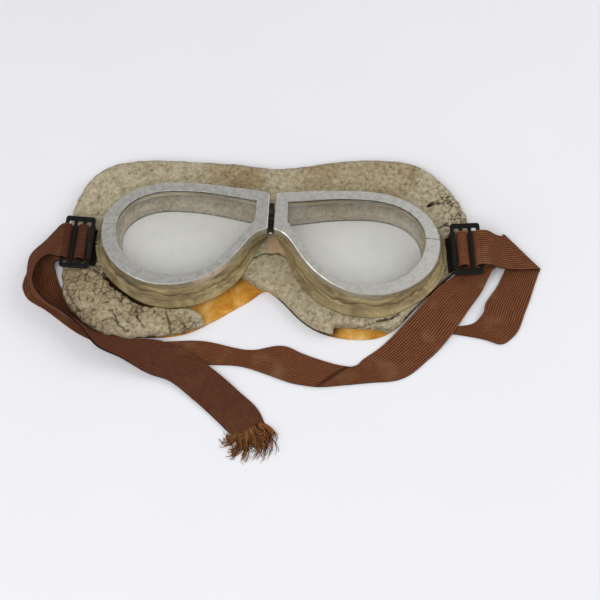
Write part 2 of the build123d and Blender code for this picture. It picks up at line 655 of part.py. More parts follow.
# Names and files
left_knuckles, right_knuckles = (0, 2, 4), (1, 3)
pieces = {
    "right_rim": right_rim.part,
    "right_lens": right_lens.part,
    "right_lens_gasket": right_gasket.part,
    "right_eyecup": right_eyecup.part,
    "right_joint_block": right_joint_block.part,
    "right_joint_screw_upper": joint_screw(1),
    "right_joint_screw_lower": joint_screw(-1),
    "right_hinge_leaf": hinge_leaf(right_knuckles, pin_radius + pin_clear),
    "right_leaf_rivet_upper": leaf_rivet(1),
    "right_leaf_rivet_lower": leaf_rivet(-1),
    "left_rim": mirrored(right_rim.part),
    "left_lens": mirrored(right_lens.part),
    "left_lens_gasket": mirrored(right_gasket.part),
    "left_eyecup": mirrored(right_eyecup.part),
    "left_joint_block": mirrored(right_joint_block.part),
    "left_joint_screw_upper": mirrored(joint_screw(1)),
    "left_joint_screw_lower": mirrored(joint_screw(-1)),
    "left_hinge_leaf": mirrored(hinge_leaf(left_knuckles, pin_radius)),
    "left_leaf_rivet_upper": mirrored(leaf_rivet(1)),
    "left_leaf_rivet_lower": mirrored(leaf_rivet(-1)),
    "hinge_pin": hinge_pin.part,
    "left_slide": strap_slide(left_slide_at),
    "right_slide": strap_slide(right_slide_at),
    "left_slide_tab": slide_tab(left_slide_at),
    "right_slide_tab": slide_tab(right_slide_at),
    "face_pad": face_pad.part,
    "chamois_lining": chamois_lining.part,
    "head_strap": head_strap.part,
}
for name, piece in pieces.items():
    piece.label = name
    export_step(piece, "parts/" + name + ".step")
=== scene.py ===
"""Aviator flying goggles: finishes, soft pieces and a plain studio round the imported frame.

The frame holds the rigid pieces. This script gives each of them its finish, and makes the sponge
pad, the chamois lining, the black tabs and the head strap as soft pieces in the places that their
solids hold.
"""

from __future__ import annotations

import json
import logging
import math
from dataclasses import dataclass, field
from enum import Enum, IntEnum

import bmesh
import bpy
import numpy as np
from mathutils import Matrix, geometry

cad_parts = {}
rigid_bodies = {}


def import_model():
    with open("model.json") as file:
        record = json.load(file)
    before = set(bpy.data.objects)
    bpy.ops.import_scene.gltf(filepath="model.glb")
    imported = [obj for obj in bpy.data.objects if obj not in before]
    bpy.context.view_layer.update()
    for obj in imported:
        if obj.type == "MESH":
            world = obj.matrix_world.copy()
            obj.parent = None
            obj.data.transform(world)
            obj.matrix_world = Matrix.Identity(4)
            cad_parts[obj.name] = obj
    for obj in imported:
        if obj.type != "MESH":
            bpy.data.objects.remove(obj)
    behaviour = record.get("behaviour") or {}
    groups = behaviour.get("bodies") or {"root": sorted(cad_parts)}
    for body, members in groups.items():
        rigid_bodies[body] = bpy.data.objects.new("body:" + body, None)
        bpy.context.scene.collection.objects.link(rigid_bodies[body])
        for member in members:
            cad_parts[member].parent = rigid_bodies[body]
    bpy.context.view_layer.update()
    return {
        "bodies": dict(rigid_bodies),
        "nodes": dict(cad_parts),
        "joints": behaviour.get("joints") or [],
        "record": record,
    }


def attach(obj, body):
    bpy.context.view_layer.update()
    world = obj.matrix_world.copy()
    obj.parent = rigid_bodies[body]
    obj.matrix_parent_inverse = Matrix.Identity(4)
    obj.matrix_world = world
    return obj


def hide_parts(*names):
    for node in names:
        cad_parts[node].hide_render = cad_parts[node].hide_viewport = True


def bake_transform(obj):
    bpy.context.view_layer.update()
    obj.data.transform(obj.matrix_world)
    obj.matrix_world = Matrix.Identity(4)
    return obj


log = logging.getLogger("goggles")
MM = 0.001

Place = tuple[float, float, float]
Row = tuple[Place, Place]
Line = tuple[tuple[float, float], ...]
Spots = tuple[Place, ...]
Tree = bpy.types.NodeTree
Node = bpy.types.Node
Socket = bpy.types.NodeSocket

STRAP_WIDTH = 19.5

# Odd multipliers and bit masks that spread a cell's whole numbers and its seed evenly over 24 bits.
CELL_FACTORS = (374761393, 668265263, 1440662683)
SEED_FACTOR = 1274126177
FOLD_FACTORS = (1103515245, 2246822519)
LOW_32 = 0xFFFFFFFF
LOW_24 = 0xFFFFFF


class Seed(IntEnum):
    """Where each random pattern starts, so that no two of them agree."""

    LUMPS = 3
    CRUMBS = 5
    RAGS = 7
    PORES = 11
    YARN = 17
    BENDS = 21
    ROT = 41
    CRACKS = 45
    PUCKERS = 61
    # Edge noise of the lining's painted gap shade.
    GAP_SHADE = 67
    WRINKLES = 71
    CURLS = 83


# ---------------------------------------------------------------- colour and nodes


def linear(colour: str, alpha: float = 1.0) -> tuple[float, float, float, float]:
    """Turns an sRGB hex value into linear light.

    Args:
        colour: the value, such as "#A0B0C0".
        alpha: the fourth number.

    Returns:
        Red, green, blue and alpha.
    """
    parts = [int(colour[k : k + 2], 16) / 255 for k in (1, 3, 5)]
    red, green, blue = (p / 12.92 if p <= 0.04045 else ((p + 0.055) / 1.055) ** 2.4 for p in parts)
    return red, green, blue, alpha


def per_metre(size: float) -> float:
    """Scale of a pattern on Object coordinates whose features measure size in millimetres."""
    return 1 / (size * MM)


def add_node(
    tree: Tree,
    kind: str,
    stops: list[tuple[float, str]] | None = None,
    inputs: dict[str | int, object] | None = None,
    **settings: object,
) -> Node:
    """Adds one node with its settings and links.

    Args:
        tree: the material's node tree.
        kind: the node's Blender type.
        stops: a colour ramp's places and hex colours.
        inputs: socket name or number to a value, a hex colour or the socket that feeds it.
        settings: the node's own attributes.

    Returns:
        The node.
    """
    node = tree.nodes.new(kind)
    for name, value in settings.items():
        setattr(node, name, value)
    if stops:
        ramp = node.color_ramp
        while len(ramp.elements) < len(stops):
            ramp.elements.new(1.0)
        for element, (place, colour) in zip(ramp.elements, stops):
            element.position = place
            element.color = linear(colour)
    for name, value in (inputs or {}).items():
        if isinstance(value, bpy.types.NodeSocket):
            tree.links.new(value, node.inputs[name])
        elif isinstance(value, str):
            node.inputs[name].default_value = linear(value)
        else:
            node.inputs[name].default_value = value
    return node


# ---------------------------------------------------------------- number fields


def lattice(cells: np.ndarray, seed: int) -> np.ndarray:
    """Repeatable value for each whole-numbered cell, by multiplying and folding its numbers.

    Args:
        cells: three whole numbers a cell, in the last axis.
        seed: picks another set of values.

    Returns:
        A value from 0 to 1 for each cell.
    """
    c = cells.astype(np.int64)
    h = sum(c[..., k] * factor for k, factor in enumerate(CELL_FACTORS))
    h = (h + seed * SEED_FACTOR) & LOW_32
    h = ((h ^ (h >> 13)) * FOLD_FACTORS[0]) & LOW_32
    h = ((h ^ (h >> 15)) * FOLD_FACTORS[1]) & LOW_32
    return ((h ^ (h >> 16)) & LOW_24) / float(LOW_24)


def ease(value: np.ndarray, low: float, high: float) -> np.ndarray:
    """Smooth step from 0 at low to 1 at high: three squares less two cubes of the share between."""
    t = np.clip((value - low) / (high - low), 0, 1)
    return t * t * (3 - 2 * t)


def soft_noise(points: np.ndarray, size: float, seed: int) -> np.ndarray:
    """Value noise: corner values of a cubic lattice, eased between by three squares less two cubes.

    Args:
        points: places, in the same unit as size.
        size: the lattice's spacing.
        seed: picks the corner values.

    Returns:
        A value from -1 to 1 for each place.
    """
    scaled = points / size
    low = np.floor(scaled)
    f = scaled - low
    f = f * f * (3 - 2 * f)
    total = np.zeros(points.shape[:-1])
    for corner in np.ndindex(2, 2, 2):
        share = np.prod(np.where(np.array(corner) == 1, f, 1 - f), axis=-1)
        total += share * lattice(low + np.array(corner), seed)
    return 2 * total - 1


def rough_noise(points: np.ndarray, size: float, seed: int, octaves: int = 4) -> np.ndarray:
    """Sum of soft noises, each half the size and half the strength of the one before."""
    return sum(soft_noise(points, size / 2**k, seed + k) / 2**k for k in range(octaves)) / 1.6


def cell_field(points: np.ndarray, size: float, seed: int) -> tuple[np.ndarray, np.ndarray]:
    """Distance to the nearest of a jittered lattice of seeds, one in each cell.

    Args:
        points: places, in the same unit as size.
        size: the mean distance between seeds.
        seed: picks the jitter.

    Returns:
        Distance to the nearest seed, as a share of size, and that seed's own value from 0 to 1.
    """
    scaled = points / size
    base = np.floor(scaled)
    first = np.full(points.shape[:-1], np.inf)
    tag = np.zeros_like(first)
    for offset in np.ndindex(3, 3, 3):
        cell = base + np.array(offset) - 1
        spot = cell + np.stack([lattice(cell, seed + k) for k in range(3)], axis=-1)
        gap = np.linalg.norm(scaled - spot, axis=-1)
        nearer = gap < first
        tag = np.where(nearer, lattice(cell, seed + 7), tag)
        first = np.where(nearer, gap, first)
    return first, tag


def spot_mask(points: np.ndarray, spots: Spots) -> np.ndarray:
    """Largest of several soft round spots seen from above.

    Args:
        points: places, in millimetres.
        spots: x, y and radius of each spot.

    Returns:
        1 within 0.6 of a spot's radius, falling to 0 at 1.2 of it.
    """
    total = np.zeros(points.shape[:-1])
    for x, y, radius in spots:
        far = np.hypot(points[..., 0] - x, points[..., 1] - y)
        total = np.maximum(total, 1 - ease(far, 0.6 * radius, 1.2 * radius))
    return total


def line_mask(points: np.ndarray, line: Line, width: np.ndarray) -> np.ndarray:
    """Soft bent line seen from above, which thins towards its two ends.

    Args:
        points: places, in millimetres.
        line: x and y of each bend.
        width: reach to each side of the line, one for each place.

    Returns:
        1 along the line, falling to 0 at its reach.
    """
    spots = points[:, :2]
    bends = np.array(line, float)
    last = len(bends) - 2
    total = np.zeros(len(points))
    for k, (a, b) in enumerate(zip(bends[:-1], bends[1:])):
        way = b - a
        share = np.clip((spots - a) @ way / (way @ way), 0, 1)
        far = np.linalg.norm(spots - a - share[:, None] * way, axis=1)
        run = (k + share) / (last + 1)
        reach = width * (1.05 - 0.8 * np.abs(2 * run - 1) ** 2) + 0.05
        total = np.maximum(total, 1 - ease(far, 0.2 * reach, reach))
    return total


# ---------------------------------------------------------------- meshes


def new_object(name: str, points: np.ndarray, faces: list | np.ndarray) -> bpy.types.Object:
    """Makes a smooth-shaded mesh object at the origin.

    Args:
        name: the piece's name.
        points: its corners in millimetres.
        faces: corner numbers of each face, counter-clockwise from outside.

    Returns:
        The object, linked to the scene.
    """
    mesh = bpy.data.meshes.new(name)
    mesh.from_pydata((np.asarray(points, float) * MM).tolist(), [], np.asarray(faces).tolist())
    mesh.validate()
    mesh.shade_smooth()
    obj = bpy.data.objects.new(name, mesh)
    bpy.context.scene.collection.objects.link(obj)
    return obj


def coordinates(mesh: bpy.types.Mesh) -> np.ndarray:
    """Corners of a mesh.

    Args:
        mesh: the mesh.

    Returns:
        One row of three numbers for each corner, in millimetres.
    """
    flat = np.empty(len(mesh.vertices) * 3, np.float32)
    mesh.vertices.foreach_get("co", flat)
    return flat.reshape(-1, 3).astype(float) / MM


def normals(mesh: bpy.types.Mesh) -> np.ndarray:
    """Unit normals at a mesh's corners.

    Args:
        mesh: the mesh.

    Returns:
        One row of three numbers for each corner.
    """
    flat = np.empty(len(mesh.vertices) * 3, np.float32)
    mesh.vertex_normals.foreach_get("vector", flat)
    return flat.reshape(-1, 3).astype(float)


def set_coordinates(mesh: bpy.types.Mesh, points: np.ndarray) -> None:
    """Moves a mesh's corners to places in millimetres."""
    mesh.vertices.foreach_set("co", (points * MM).astype(np.float32).ravel())
    mesh.update()


def set_field(mesh: bpy.types.Mesh, name: str, values: np.ndarray) -> None:
    """Keeps one number per corner under a name that a finish reads."""
    layer = mesh.attributes.new(name, "FLOAT", "POINT")
    layer.data.foreach_set("value", values.astype(np.float32).ravel())


def set_uv(mesh: bpy.types.Mesh, places: np.ndarray) -> None:
    """Gives each corner its place on the cloth as the UV map.

    Args:
        mesh: the cloth's mesh.
        places: two numbers for each corner, in metres.
    """
    layer = mesh.uv_layers.new(name="UVMap")
    corner = np.empty(len(mesh.loops), np.int32)
    mesh.loops.foreach_get("vertex_index", corner)
    layer.data.foreach_set("uv", places[corner].astype(np.float32).ravel())


def merged_copy(node: bpy.types.Object) -> bpy.types.Mesh:
    """Copy of a frame node's mesh with its loose triangles joined.

    Args:
        node: the frame's piece.

    Returns:
        The copy, in the scene's own frame.
    """
    mesh = node.data.copy()
    mesh.transform(node.matrix_world)
    work = bmesh.new()
    work.from_mesh(mesh)
    bmesh.ops.remove_doubles(work, verts=work.verts, dist=2e-6)
    work.to_mesh(mesh)
    work.free()
    return mesh


def settled(obj: bpy.types.Object) -> None:
    """Applies an object's modifiers to its mesh.

    Args:
        obj: the piece, which is given the new mesh.
    """
    graph = bpy.context.evaluated_depsgraph_get()
    mesh = bpy.data.meshes.new_from_object(obj.evaluated_get(graph))
    obj.modifiers.clear()
    obj.data = mesh
    mesh.shade_smooth()


def dress(obj: bpy.types.Object, material: bpy.types.Material) -> None:
    """Puts one finish on every slot of a piece.

    Args:
        obj: the piece.
        material: its finish.
    """
    if not obj.material_slots:
        obj.data.materials.append(material)
    for slot in obj.material_slots:
        slot.link = "OBJECT"
        slot.material = material


def curve_through(points: np.ndarray, times: np.ndarray, at: np.ndarray) -> np.ndarray:
    """Smooth curve through points: cubic pieces whose slope at each point is weighted from both sides.

    Args:
        points: the points, one row each.
        times: each point's own time, rising.
        at: the times asked for.

    Returns:
        One row for each time asked for.
    """
    step = np.diff(times)
    slope = np.diff(points, axis=0) / step[:, None]
    tangent = np.empty_like(points)
    tangent[0], tangent[-1] = slope[0], slope[-1]
    ahead = (step[:-1] / (step[:-1] + step[1:]))[:, None]
    tangent[1:-1] = (1 - ahead) * slope[:-1] + ahead * slope[1:]
    k = np.clip(np.searchsorted(times, at, side="right") - 1, 0, len(times) - 2)
    h = step[k][:, None]
    t = ((at - times[k]) / step[k])[:, None]
    return (
        (1 + 2 * t) * (1 - t) ** 2 * points[k]
        + t * (1 - t) ** 2 * h * tangent[k]
        + t * t * (3 - 2 * t) * points[k + 1]
        + t * t * (t - 1) * h * tangent[k + 1]
    )


def row_length(grid: np.ndarray) -> np.ndarray:
    """Running length along the middle of a grid of places, from 0."""
    middle = grid.mean(axis=1)
    return np.concatenate([[0.0], np.cumsum(np.linalg.norm(np.diff(middle, axis=0), axis=1))])


# ---------------------------------------------------------------- finishes


@dataclass(frozen=True)
class Finish:
    """A finish named for what it is; each kind adds its own nodes to a Principled surface."""

    name: str

    def build(self) -> bpy.types.Material:
        """Makes the material.

        Returns:
            The material, ready for its pieces.
        """
        material = bpy.data.materials.new(self.name)
        material.use_nodes = True
        tree = material.node_tree
        tree.nodes.clear()
        surface = add_node(tree, "ShaderNodeBsdfPrincipled")
        place = add_node(tree, "ShaderNodeTexCoord")
        end = add_node(tree, "ShaderNodeOutputMaterial", inputs={"Surface": surface.outputs[0]})
        self.paint(tree, surface, place.outputs["Object"], end)
        return material

    def paint(self, tree: Tree, surface: Node, place: Socket, end: Node) -> None:
        """Adds the finish's own nodes.

        Args:
            tree: the material's node tree.
            surface: the Principled node.
            place: the Object coordinates, in metres.
            end: the material's output node.
        """
        raise NotImplementedError


@dataclass(frozen=True)
class SatinMetal(Finish):
    """Stamped or turned metal, brushed and then handled: a satin base with dull oxide and fine pits.

    Pits and hairlines are drawn at about half a millimetre, coarser than real ones, so that they show.
    """

    bright: str = "#E2E0D9"
    dull: str = "#C4C1B7"
    pit: str = "#6E6B63"
    smooth: float = 0.28
    rough: float = 0.44
    blotch: float = 3.0
    grit: float = 0.6

    def paint(self, tree: Tree, surface: Node, place: Socket, end: Node) -> None:
        """Oxide blotches set colour and gloss; pits darken it, and with hairlines they set the relief.

        Args:
            tree: the material's node tree.
            surface: the Principled node.
            place: the Object coordinates, in metres.
            end: the material's output node.
        """
        cloud = add_node(
            tree, "ShaderNodeTexNoise",
            inputs={"Vector": place, "Scale": per_metre(self.blotch), "Detail": 6.0, "Roughness": 0.65},
        )
        grit = add_node(
            tree, "ShaderNodeTexNoise",
            inputs={"Vector": place, "Scale": per_metre(self.grit), "Detail": 3.0, "Roughness": 0.6},
        )
        tone = add_node(
            tree, "ShaderNodeValToRGB", [(0.38, self.dull), (0.60, self.bright)],
            {"Fac": cloud.outputs["Fac"]},
        )
        speck = add_node(
            tree, "ShaderNodeMapRange", inputs={0: grit.outputs["Fac"], 1: 0.60, 2: 0.70, 3: 0.0, 4: 0.6}
        )
        colour = add_node(
            tree, "ShaderNodeMix", data_type="RGBA",
            inputs={0: speck.outputs[0], 6: tone.outputs["Color"], 7: self.pit},
        )
        gloss = add_node(
            tree, "ShaderNodeMapRange",
            inputs={0: cloud.outputs["Fac"], 1: 0.35, 2: 0.65, 3: self.rough, 4: self.smooth},
        )
        turned = add_node(
            tree, "ShaderNodeMapping",
            inputs={"Vector": place, "Rotation": (0.0, 0.0, 0.6), "Scale": (1.0, 0.05, 1.0)},
        )
        hair = add_node(
            tree, "ShaderNodeTexNoise",
            inputs={"Vector": turned.outputs[0], "Scale": per_metre(0.5), "Detail": 2.0},
        )
        relief = add_node(
            tree, "ShaderNodeMath", operation="MULTIPLY_ADD",
            inputs={0: hair.outputs["Fac"], 1: 0.35, 2: grit.outputs["Fac"]},
        )
        bump = add_node(
            tree, "ShaderNodeBump",
            inputs={"Strength": 0.25, "Distance": 0.08 * MM, "Height": relief.outputs[0]},
        )
        surface.inputs["Metallic"].default_value = 1.0
        tree.links.new(colour.outputs[2], surface.inputs["Base Color"])
        tree.links.new(gloss.outputs[0], surface.inputs["Roughness"])
        tree.links.new(bump.outputs[0], surface.inputs["Normal"])


@dataclass(frozen=True)
class LensGlass(Finish):
    """Old laminated lens, ground flat and polished: clear, with a faint handled haze and a few specks."""

    film: str = "#E4E4E0"

    def paint(self, tree: Tree, surface: Node, place: Socket, end: Node) -> None:
        """Haze and specks take a share of the clearness away; lamps pass through to what lies behind.

        Args:
            tree: the material's node tree.
            surface: the Principled node.
            place: the Object coordinates, in metres.
            end: the material's output node.
        """
        haze = add_node(
            tree, "ShaderNodeTexNoise",
            inputs={"Vector": place, "Scale": per_metre(14.0), "Detail": 5.0, "Roughness": 0.6},
        )
        speck = add_node(
            tree, "ShaderNodeTexNoise", inputs={"Vector": place, "Scale": per_metre(0.9), "Detail": 1.0}
        )
        clear = add_node(
            tree, "ShaderNodeMapRange", inputs={0: haze.outputs["Fac"], 1: 0.3, 2: 0.75, 3: 0.99, 4: 0.90}
        )
        dots = add_node(
            tree, "ShaderNodeMapRange", inputs={0: speck.outputs["Fac"], 1: 0.72, 2: 0.78, 3: 1.0, 4: 0.7}
        )
        share = add_node(
            tree, "ShaderNodeMath", operation="MULTIPLY", inputs={0: clear.outputs[0], 1: dots.outputs[0]}
        )
        gloss = add_node(
            tree, "ShaderNodeMapRange", inputs={0: haze.outputs["Fac"], 1: 0.3, 2: 0.7, 3: 0.02, 4: 0.09}
        )
        for name, value in (("Base Color", linear(self.film)), ("IOR", 1.5)):
            surface.inputs[name].default_value = value
        tree.links.new(share.outputs[0], surface.inputs["Transmission Weight"])
        tree.links.new(gloss.outputs[0], surface.inputs["Roughness"])
        path = add_node(tree, "ShaderNodeLightPath")
        open_way = add_node(tree, "ShaderNodeBsdfTransparent", inputs={"Color": "#FAFAF8"})
        mixed = add_node(
            tree, "ShaderNodeMixShader",
            inputs={0: path.outputs["Is Shadow Ray"], 1: surface.outputs[0], 2: open_way.outputs[0]},
        )
        tree.links.new(mixed.outputs[0], end.inputs["Surface"])


@dataclass(frozen=True)
class Moulding(Finish):
    """Moulded rubber or plastic gone dull with age: cloudy colour, faint flow streaks and a soft relief."""

    colours: tuple[str, str, str] = ("#5C4F33", "#8D7C58", "#A8966F")
    stain: str = "#6E5426"
    stained: float = 0.0
    roughness: float = 0.42
    cloud: float = 11.0
    see_through: float = 0.0
    relief: float = 0.25
    crease: float = 0.0
    fold: float = 0.0

    def paint(self, tree: Tree, surface: Node, place: Socket, end: Node) -> None:
        """A stretched noise gives the streaks and creases, a second one the stains and a wavy fold.

        The fold is a line of painted shade with a step under it, where the height plus the second noise
        passes the fold's own height.

        Args:
            tree: the material's node tree.
            surface: the Principled node.
            place: the Object coordinates, in metres.
            end: the material's output node.
        """
        laid = add_node(tree, "ShaderNodeMapping", inputs={"Vector": place, "Scale": (0.5, 0.8, 2.2)})
        cloud = add_node(
            tree, "ShaderNodeTexNoise",
            inputs={
                "Vector": laid.outputs[0], "Scale": per_metre(self.cloud), "Detail": 8.0, "Roughness": 0.62,
                "Distortion": 0.6,
            },
        )
        low, middle, high = self.colours
        tone = add_node(
            tree, "ShaderNodeValToRGB", [(0.30, low), (0.50, middle), (0.72, high)],
            {"Fac": cloud.outputs["Fac"]},
        )
        spot = add_node(
            tree, "ShaderNodeTexNoise", inputs={"Vector": place, "Scale": per_metre(7.0), "Detail": 5.0}
        )
        amount = add_node(
            tree, "ShaderNodeMapRange",
            inputs={0: spot.outputs["Fac"], 1: 0.55, 2: 0.72, 3: 0.0, 4: self.stained},
        )
        colour = add_node(
            tree, "ShaderNodeMix", data_type="RGBA",
            inputs={0: amount.outputs[0], 6: tone.outputs["Color"], 7: self.stain},
        )
        fine = add_node(
            tree, "ShaderNodeTexNoise",
            inputs={"Vector": laid.outputs[0], "Scale": per_metre(2.0), "Detail": 4.0},
        )
        height = add_node(tree, "ShaderNodeSeparateXYZ", inputs={0: place})
        wavy = add_node(
            tree, "ShaderNodeMath", operation="MULTIPLY_ADD",
            inputs={0: spot.outputs["Fac"], 1: 6.0 * MM, 2: height.outputs[2]},
        )
        tier = add_node(
            tree, "ShaderNodeMapRange",
            inputs={0: wavy.outputs[0], 1: (self.fold + 1.0) * MM, 2: (self.fold + 5.0) * MM},
        )
        # Painted shade: a dark line along the fold between the cup's two tiers, softening to each side.
        shade = add_node(
            tree, "ShaderNodeValToRGB",
            [(0.0, "#FFFFFF"), (0.30, "#F4EEE0"), (0.42, "#786A4C"), (0.52, "#D6CCB4"), (1.0, "#FFFFFF")],
            {"Fac": tier.outputs[0]},
        )
        shaded = add_node(
            tree, "ShaderNodeMix", data_type="RGBA", blend_type="MULTIPLY",
            inputs={0: min(self.crease, 1.0), 6: colour.outputs[2], 7: shade.outputs["Color"]},
        )
        stepped = add_node(
            tree, "ShaderNodeMath", operation="MULTIPLY_ADD",
            inputs={0: tier.outputs[0], 1: -0.5, 2: cloud.outputs["Fac"]},
        )
        folded = add_node(
            tree, "ShaderNodeBump",
            inputs={"Strength": self.crease, "Distance": 2.5 * MM, "Height": stepped.outputs[0]},
        )
        bump = add_node(
            tree, "ShaderNodeBump",
            inputs={
                "Strength": self.relief, "Distance": 0.4 * MM, "Height": fine.outputs["Fac"],
                "Normal": folded.outputs[0],
            },
        )
        gloss = add_node(
            tree, "ShaderNodeMapRange",
            inputs={
                0: fine.outputs["Fac"], 1: 0.3, 2: 0.7, 3: self.roughness - 0.08, 4: self.roughness + 0.12,
            },
        )
        surface.inputs["Subsurface Weight"].default_value = self.see_through
        surface.inputs["Subsurface Radius"].default_value = (2.5 * MM, 1.8 * MM, 1.0 * MM)
        surface.inputs["Subsurface Scale"].default_value = 1.0
        tree.links.new(shaded.outputs[2], surface.inputs["Base Color"])
        tree.links.new(gloss.outputs[0], surface.inputs["Roughness"])
        tree.links.new(bump.outputs[0], surface.inputs["Normal"])


@dataclass(frozen=True)
class WornEnamel(Finish):
    """Stoved black enamel on pressed steel, chipped where the strap rubs it."""

    def paint(self, tree: Tree, surface: Node, place: Socket, end: Node) -> None:
        """Chips are where one rough noise runs high; they are rougher and show dull steel.

        Args:
            tree: the material's node tree.
            surface: the Principled node.
            place: the Object coordinates, in metres.
            end: the material's output node.
        """
        chip = add_node(
            tree, "ShaderNodeTexNoise",
            inputs={"Vector": place, "Scale": per_metre(2.6), "Detail": 8.0, "Roughness": 0.7},
        )
        bare = add_node(
            tree, "ShaderNodeMapRange", inputs={0: chip.outputs["Fac"], 1: 0.64, 2: 0.74, 3: 0.0, 4: 1.0}
        )
        colour = add_node(
            tree, "ShaderNodeValToRGB", [(0.0, "#0D0C0B"), (0.5, "#231F1B"), (1.0, "#50463A")],
            {"Fac": bare.outputs[0]},
        )
        gloss = add_node(
            tree, "ShaderNodeMapRange", inputs={0: bare.outputs[0], 1: 0.0, 2: 1.0, 3: 0.42, 4: 0.66}
        )
        bump = add_node(
            tree, "ShaderNodeBump",
            inputs={"Strength": 0.4, "Distance": 0.12 * MM, "Height": chip.outputs["Fac"]},
        )
        surface.inputs["Specular IOR Level"].default_value = 0.18
        tree.links.new(colour.outputs["Color"], surface.inputs["Base Color"])
        tree.links.new(gloss.outputs[0], surface.inputs["Roughness"])
        tree.links.new(bump.outputs[0], surface.inputs["Normal"])


@dataclass(frozen=True)
class PerishedSponge(Finish):
    """Moulded sponge rubber, perished: a dry grey-tan skin, open pores, brown rot and cracks, with painted
    shade in the pores and cracks.
    """

    def paint(self, tree: Tree, surface: Node, place: Socket, end: Node) -> None:
        """Pores, cracks and rot come with the mesh as numbers, and two clouds tint the skin between; the
        pores and cracks are painted dark as shade.

        A net of hairlines, the edges of a bent cell pattern, shows where the mesh says it crumbles; the
        hairlines and small round pits are painted dark as shade too.

        Args:
            tree: the material's node tree.
            surface: the Principled node.
            place: the Object coordinates, in metres.
            end: the material's output node.
        """
        wide = add_node(
            tree, "ShaderNodeTexNoise",
            inputs={"Vector": place, "Scale": per_metre(16.0), "Detail": 5.0, "Roughness": 0.6},
        )
        mid = add_node(
            tree, "ShaderNodeTexNoise",
            inputs={"Vector": place, "Scale": per_metre(2.2), "Detail": 7.0, "Roughness": 0.75},
        )
        skin = add_node(
            tree, "ShaderNodeValToRGB",
            [(0.30, "#73654A"), (0.44, "#9F9377"), (0.58, "#B9AE93"), (0.76, "#D0C7B2")],
            {"Fac": mid.outputs["Fac"]},
        )
        rot = add_node(tree, "ShaderNodeAttribute", attribute_name="rot")
        blend = add_node(
            tree, "ShaderNodeMath", operation="MULTIPLY_ADD",
            inputs={0: wide.outputs["Fac"], 1: 1.2, 2: rot.outputs["Fac"]},
        )
        brown = add_node(
            tree, "ShaderNodeMapRange", inputs={0: blend.outputs[0], 1: 0.62, 2: 1.35, 3: 0.0, 4: 0.75}
        )
        aged = add_node(
            tree, "ShaderNodeMix", data_type="RGBA", blend_type="MULTIPLY",
            inputs={0: brown.outputs[0], 6: skin.outputs["Color"], 7: "#C2A470"},
        )
        hide = add_node(tree, "ShaderNodeAttribute", attribute_name="web")
        webbed = add_node(
            tree, "ShaderNodeMix", data_type="RGBA",
            inputs={0: hide.outputs["Fac"], 6: aged.outputs[2], 7: "#C7A47A"},
        )
        # Painted shade: pores, cracks and the nose crease darken towards near black.
        pore = add_node(tree, "ShaderNodeAttribute", attribute_name="pore")
        dark = add_node(
            tree, "ShaderNodeMix", data_type="RGBA",
            inputs={0: pore.outputs["Fac"], 6: webbed.outputs[2], 7: "#2E261B"},
        )
        fine = add_node(
            tree, "ShaderNodeTexNoise",
            inputs={"Vector": place, "Scale": per_metre(0.8), "Detail": 5.0, "Roughness": 0.7},
        )
        # Painted shade: small round pits and the hairline net darken the skin.
        dots = add_node(tree, "ShaderNodeTexVoronoi", inputs={"Vector": place, "Scale": per_metre(1.1)})
        hole = add_node(
            tree, "ShaderNodeMapRange", inputs={0: dots.outputs["Distance"], 1: 0.08, 2: 0.22, 3: 0.5, 4: 0.0}
        )
        crumbly = add_node(tree, "ShaderNodeAttribute", attribute_name="broken")
        shifted = add_node(
            tree, "ShaderNodeVectorMath", operation="MULTIPLY_ADD",
            inputs={0: mid.outputs["Color"], 1: (4.0 * MM, 4.0 * MM, 4.0 * MM), 2: place},
        )
        cells = add_node(
            tree, "ShaderNodeTexVoronoi", feature="DISTANCE_TO_EDGE",
            inputs={"Vector": shifted.outputs[0], "Scale": per_metre(4.2)},
        )
        hairline = add_node(
            tree, "ShaderNodeMapRange",
            inputs={0: cells.outputs["Distance"], 1: 0.012, 2: 0.045, 3: 0.85, 4: 0.0},
        )
        patchy = add_node(
            tree, "ShaderNodeMapRange", inputs={0: wide.outputs["Fac"], 1: 0.44, 2: 0.56, 3: 0.0, 4: 1.0}
        )
        split = add_node(
            tree, "ShaderNodeMath", operation="MULTIPLY",
            inputs={0: hairline.outputs[0], 1: patchy.outputs[0]},
        )
        crazed = add_node(
            tree, "ShaderNodeMath", operation="MULTIPLY_ADD",
            inputs={0: split.outputs[0], 1: crumbly.outputs["Fac"], 2: hole.outputs[0]}, use_clamp=True,
        )
        freckled = add_node(
            tree, "ShaderNodeMix", data_type="RGBA",
            inputs={0: crazed.outputs[0], 6: dark.outputs[2], 7: "#3F3424"},
        )
        height = add_node(
            tree, "ShaderNodeMath", operation="SUBTRACT",
            inputs={0: fine.outputs["Fac"], 1: crazed.outputs[0]},
        )
        bump = add_node(
            tree, "ShaderNodeBump",
            inputs={"Strength": 1.0, "Distance": 0.5 * MM, "Height": height.outputs[0]},
        )
        surface.inputs["Roughness"].default_value = 0.95
        surface.inputs["Specular IOR Level"].default_value = 0.2
        tree.links.new(freckled.outputs[2], surface.inputs["Base Color"])
        tree.links.new(bump.outputs[0], surface.inputs["Normal"])


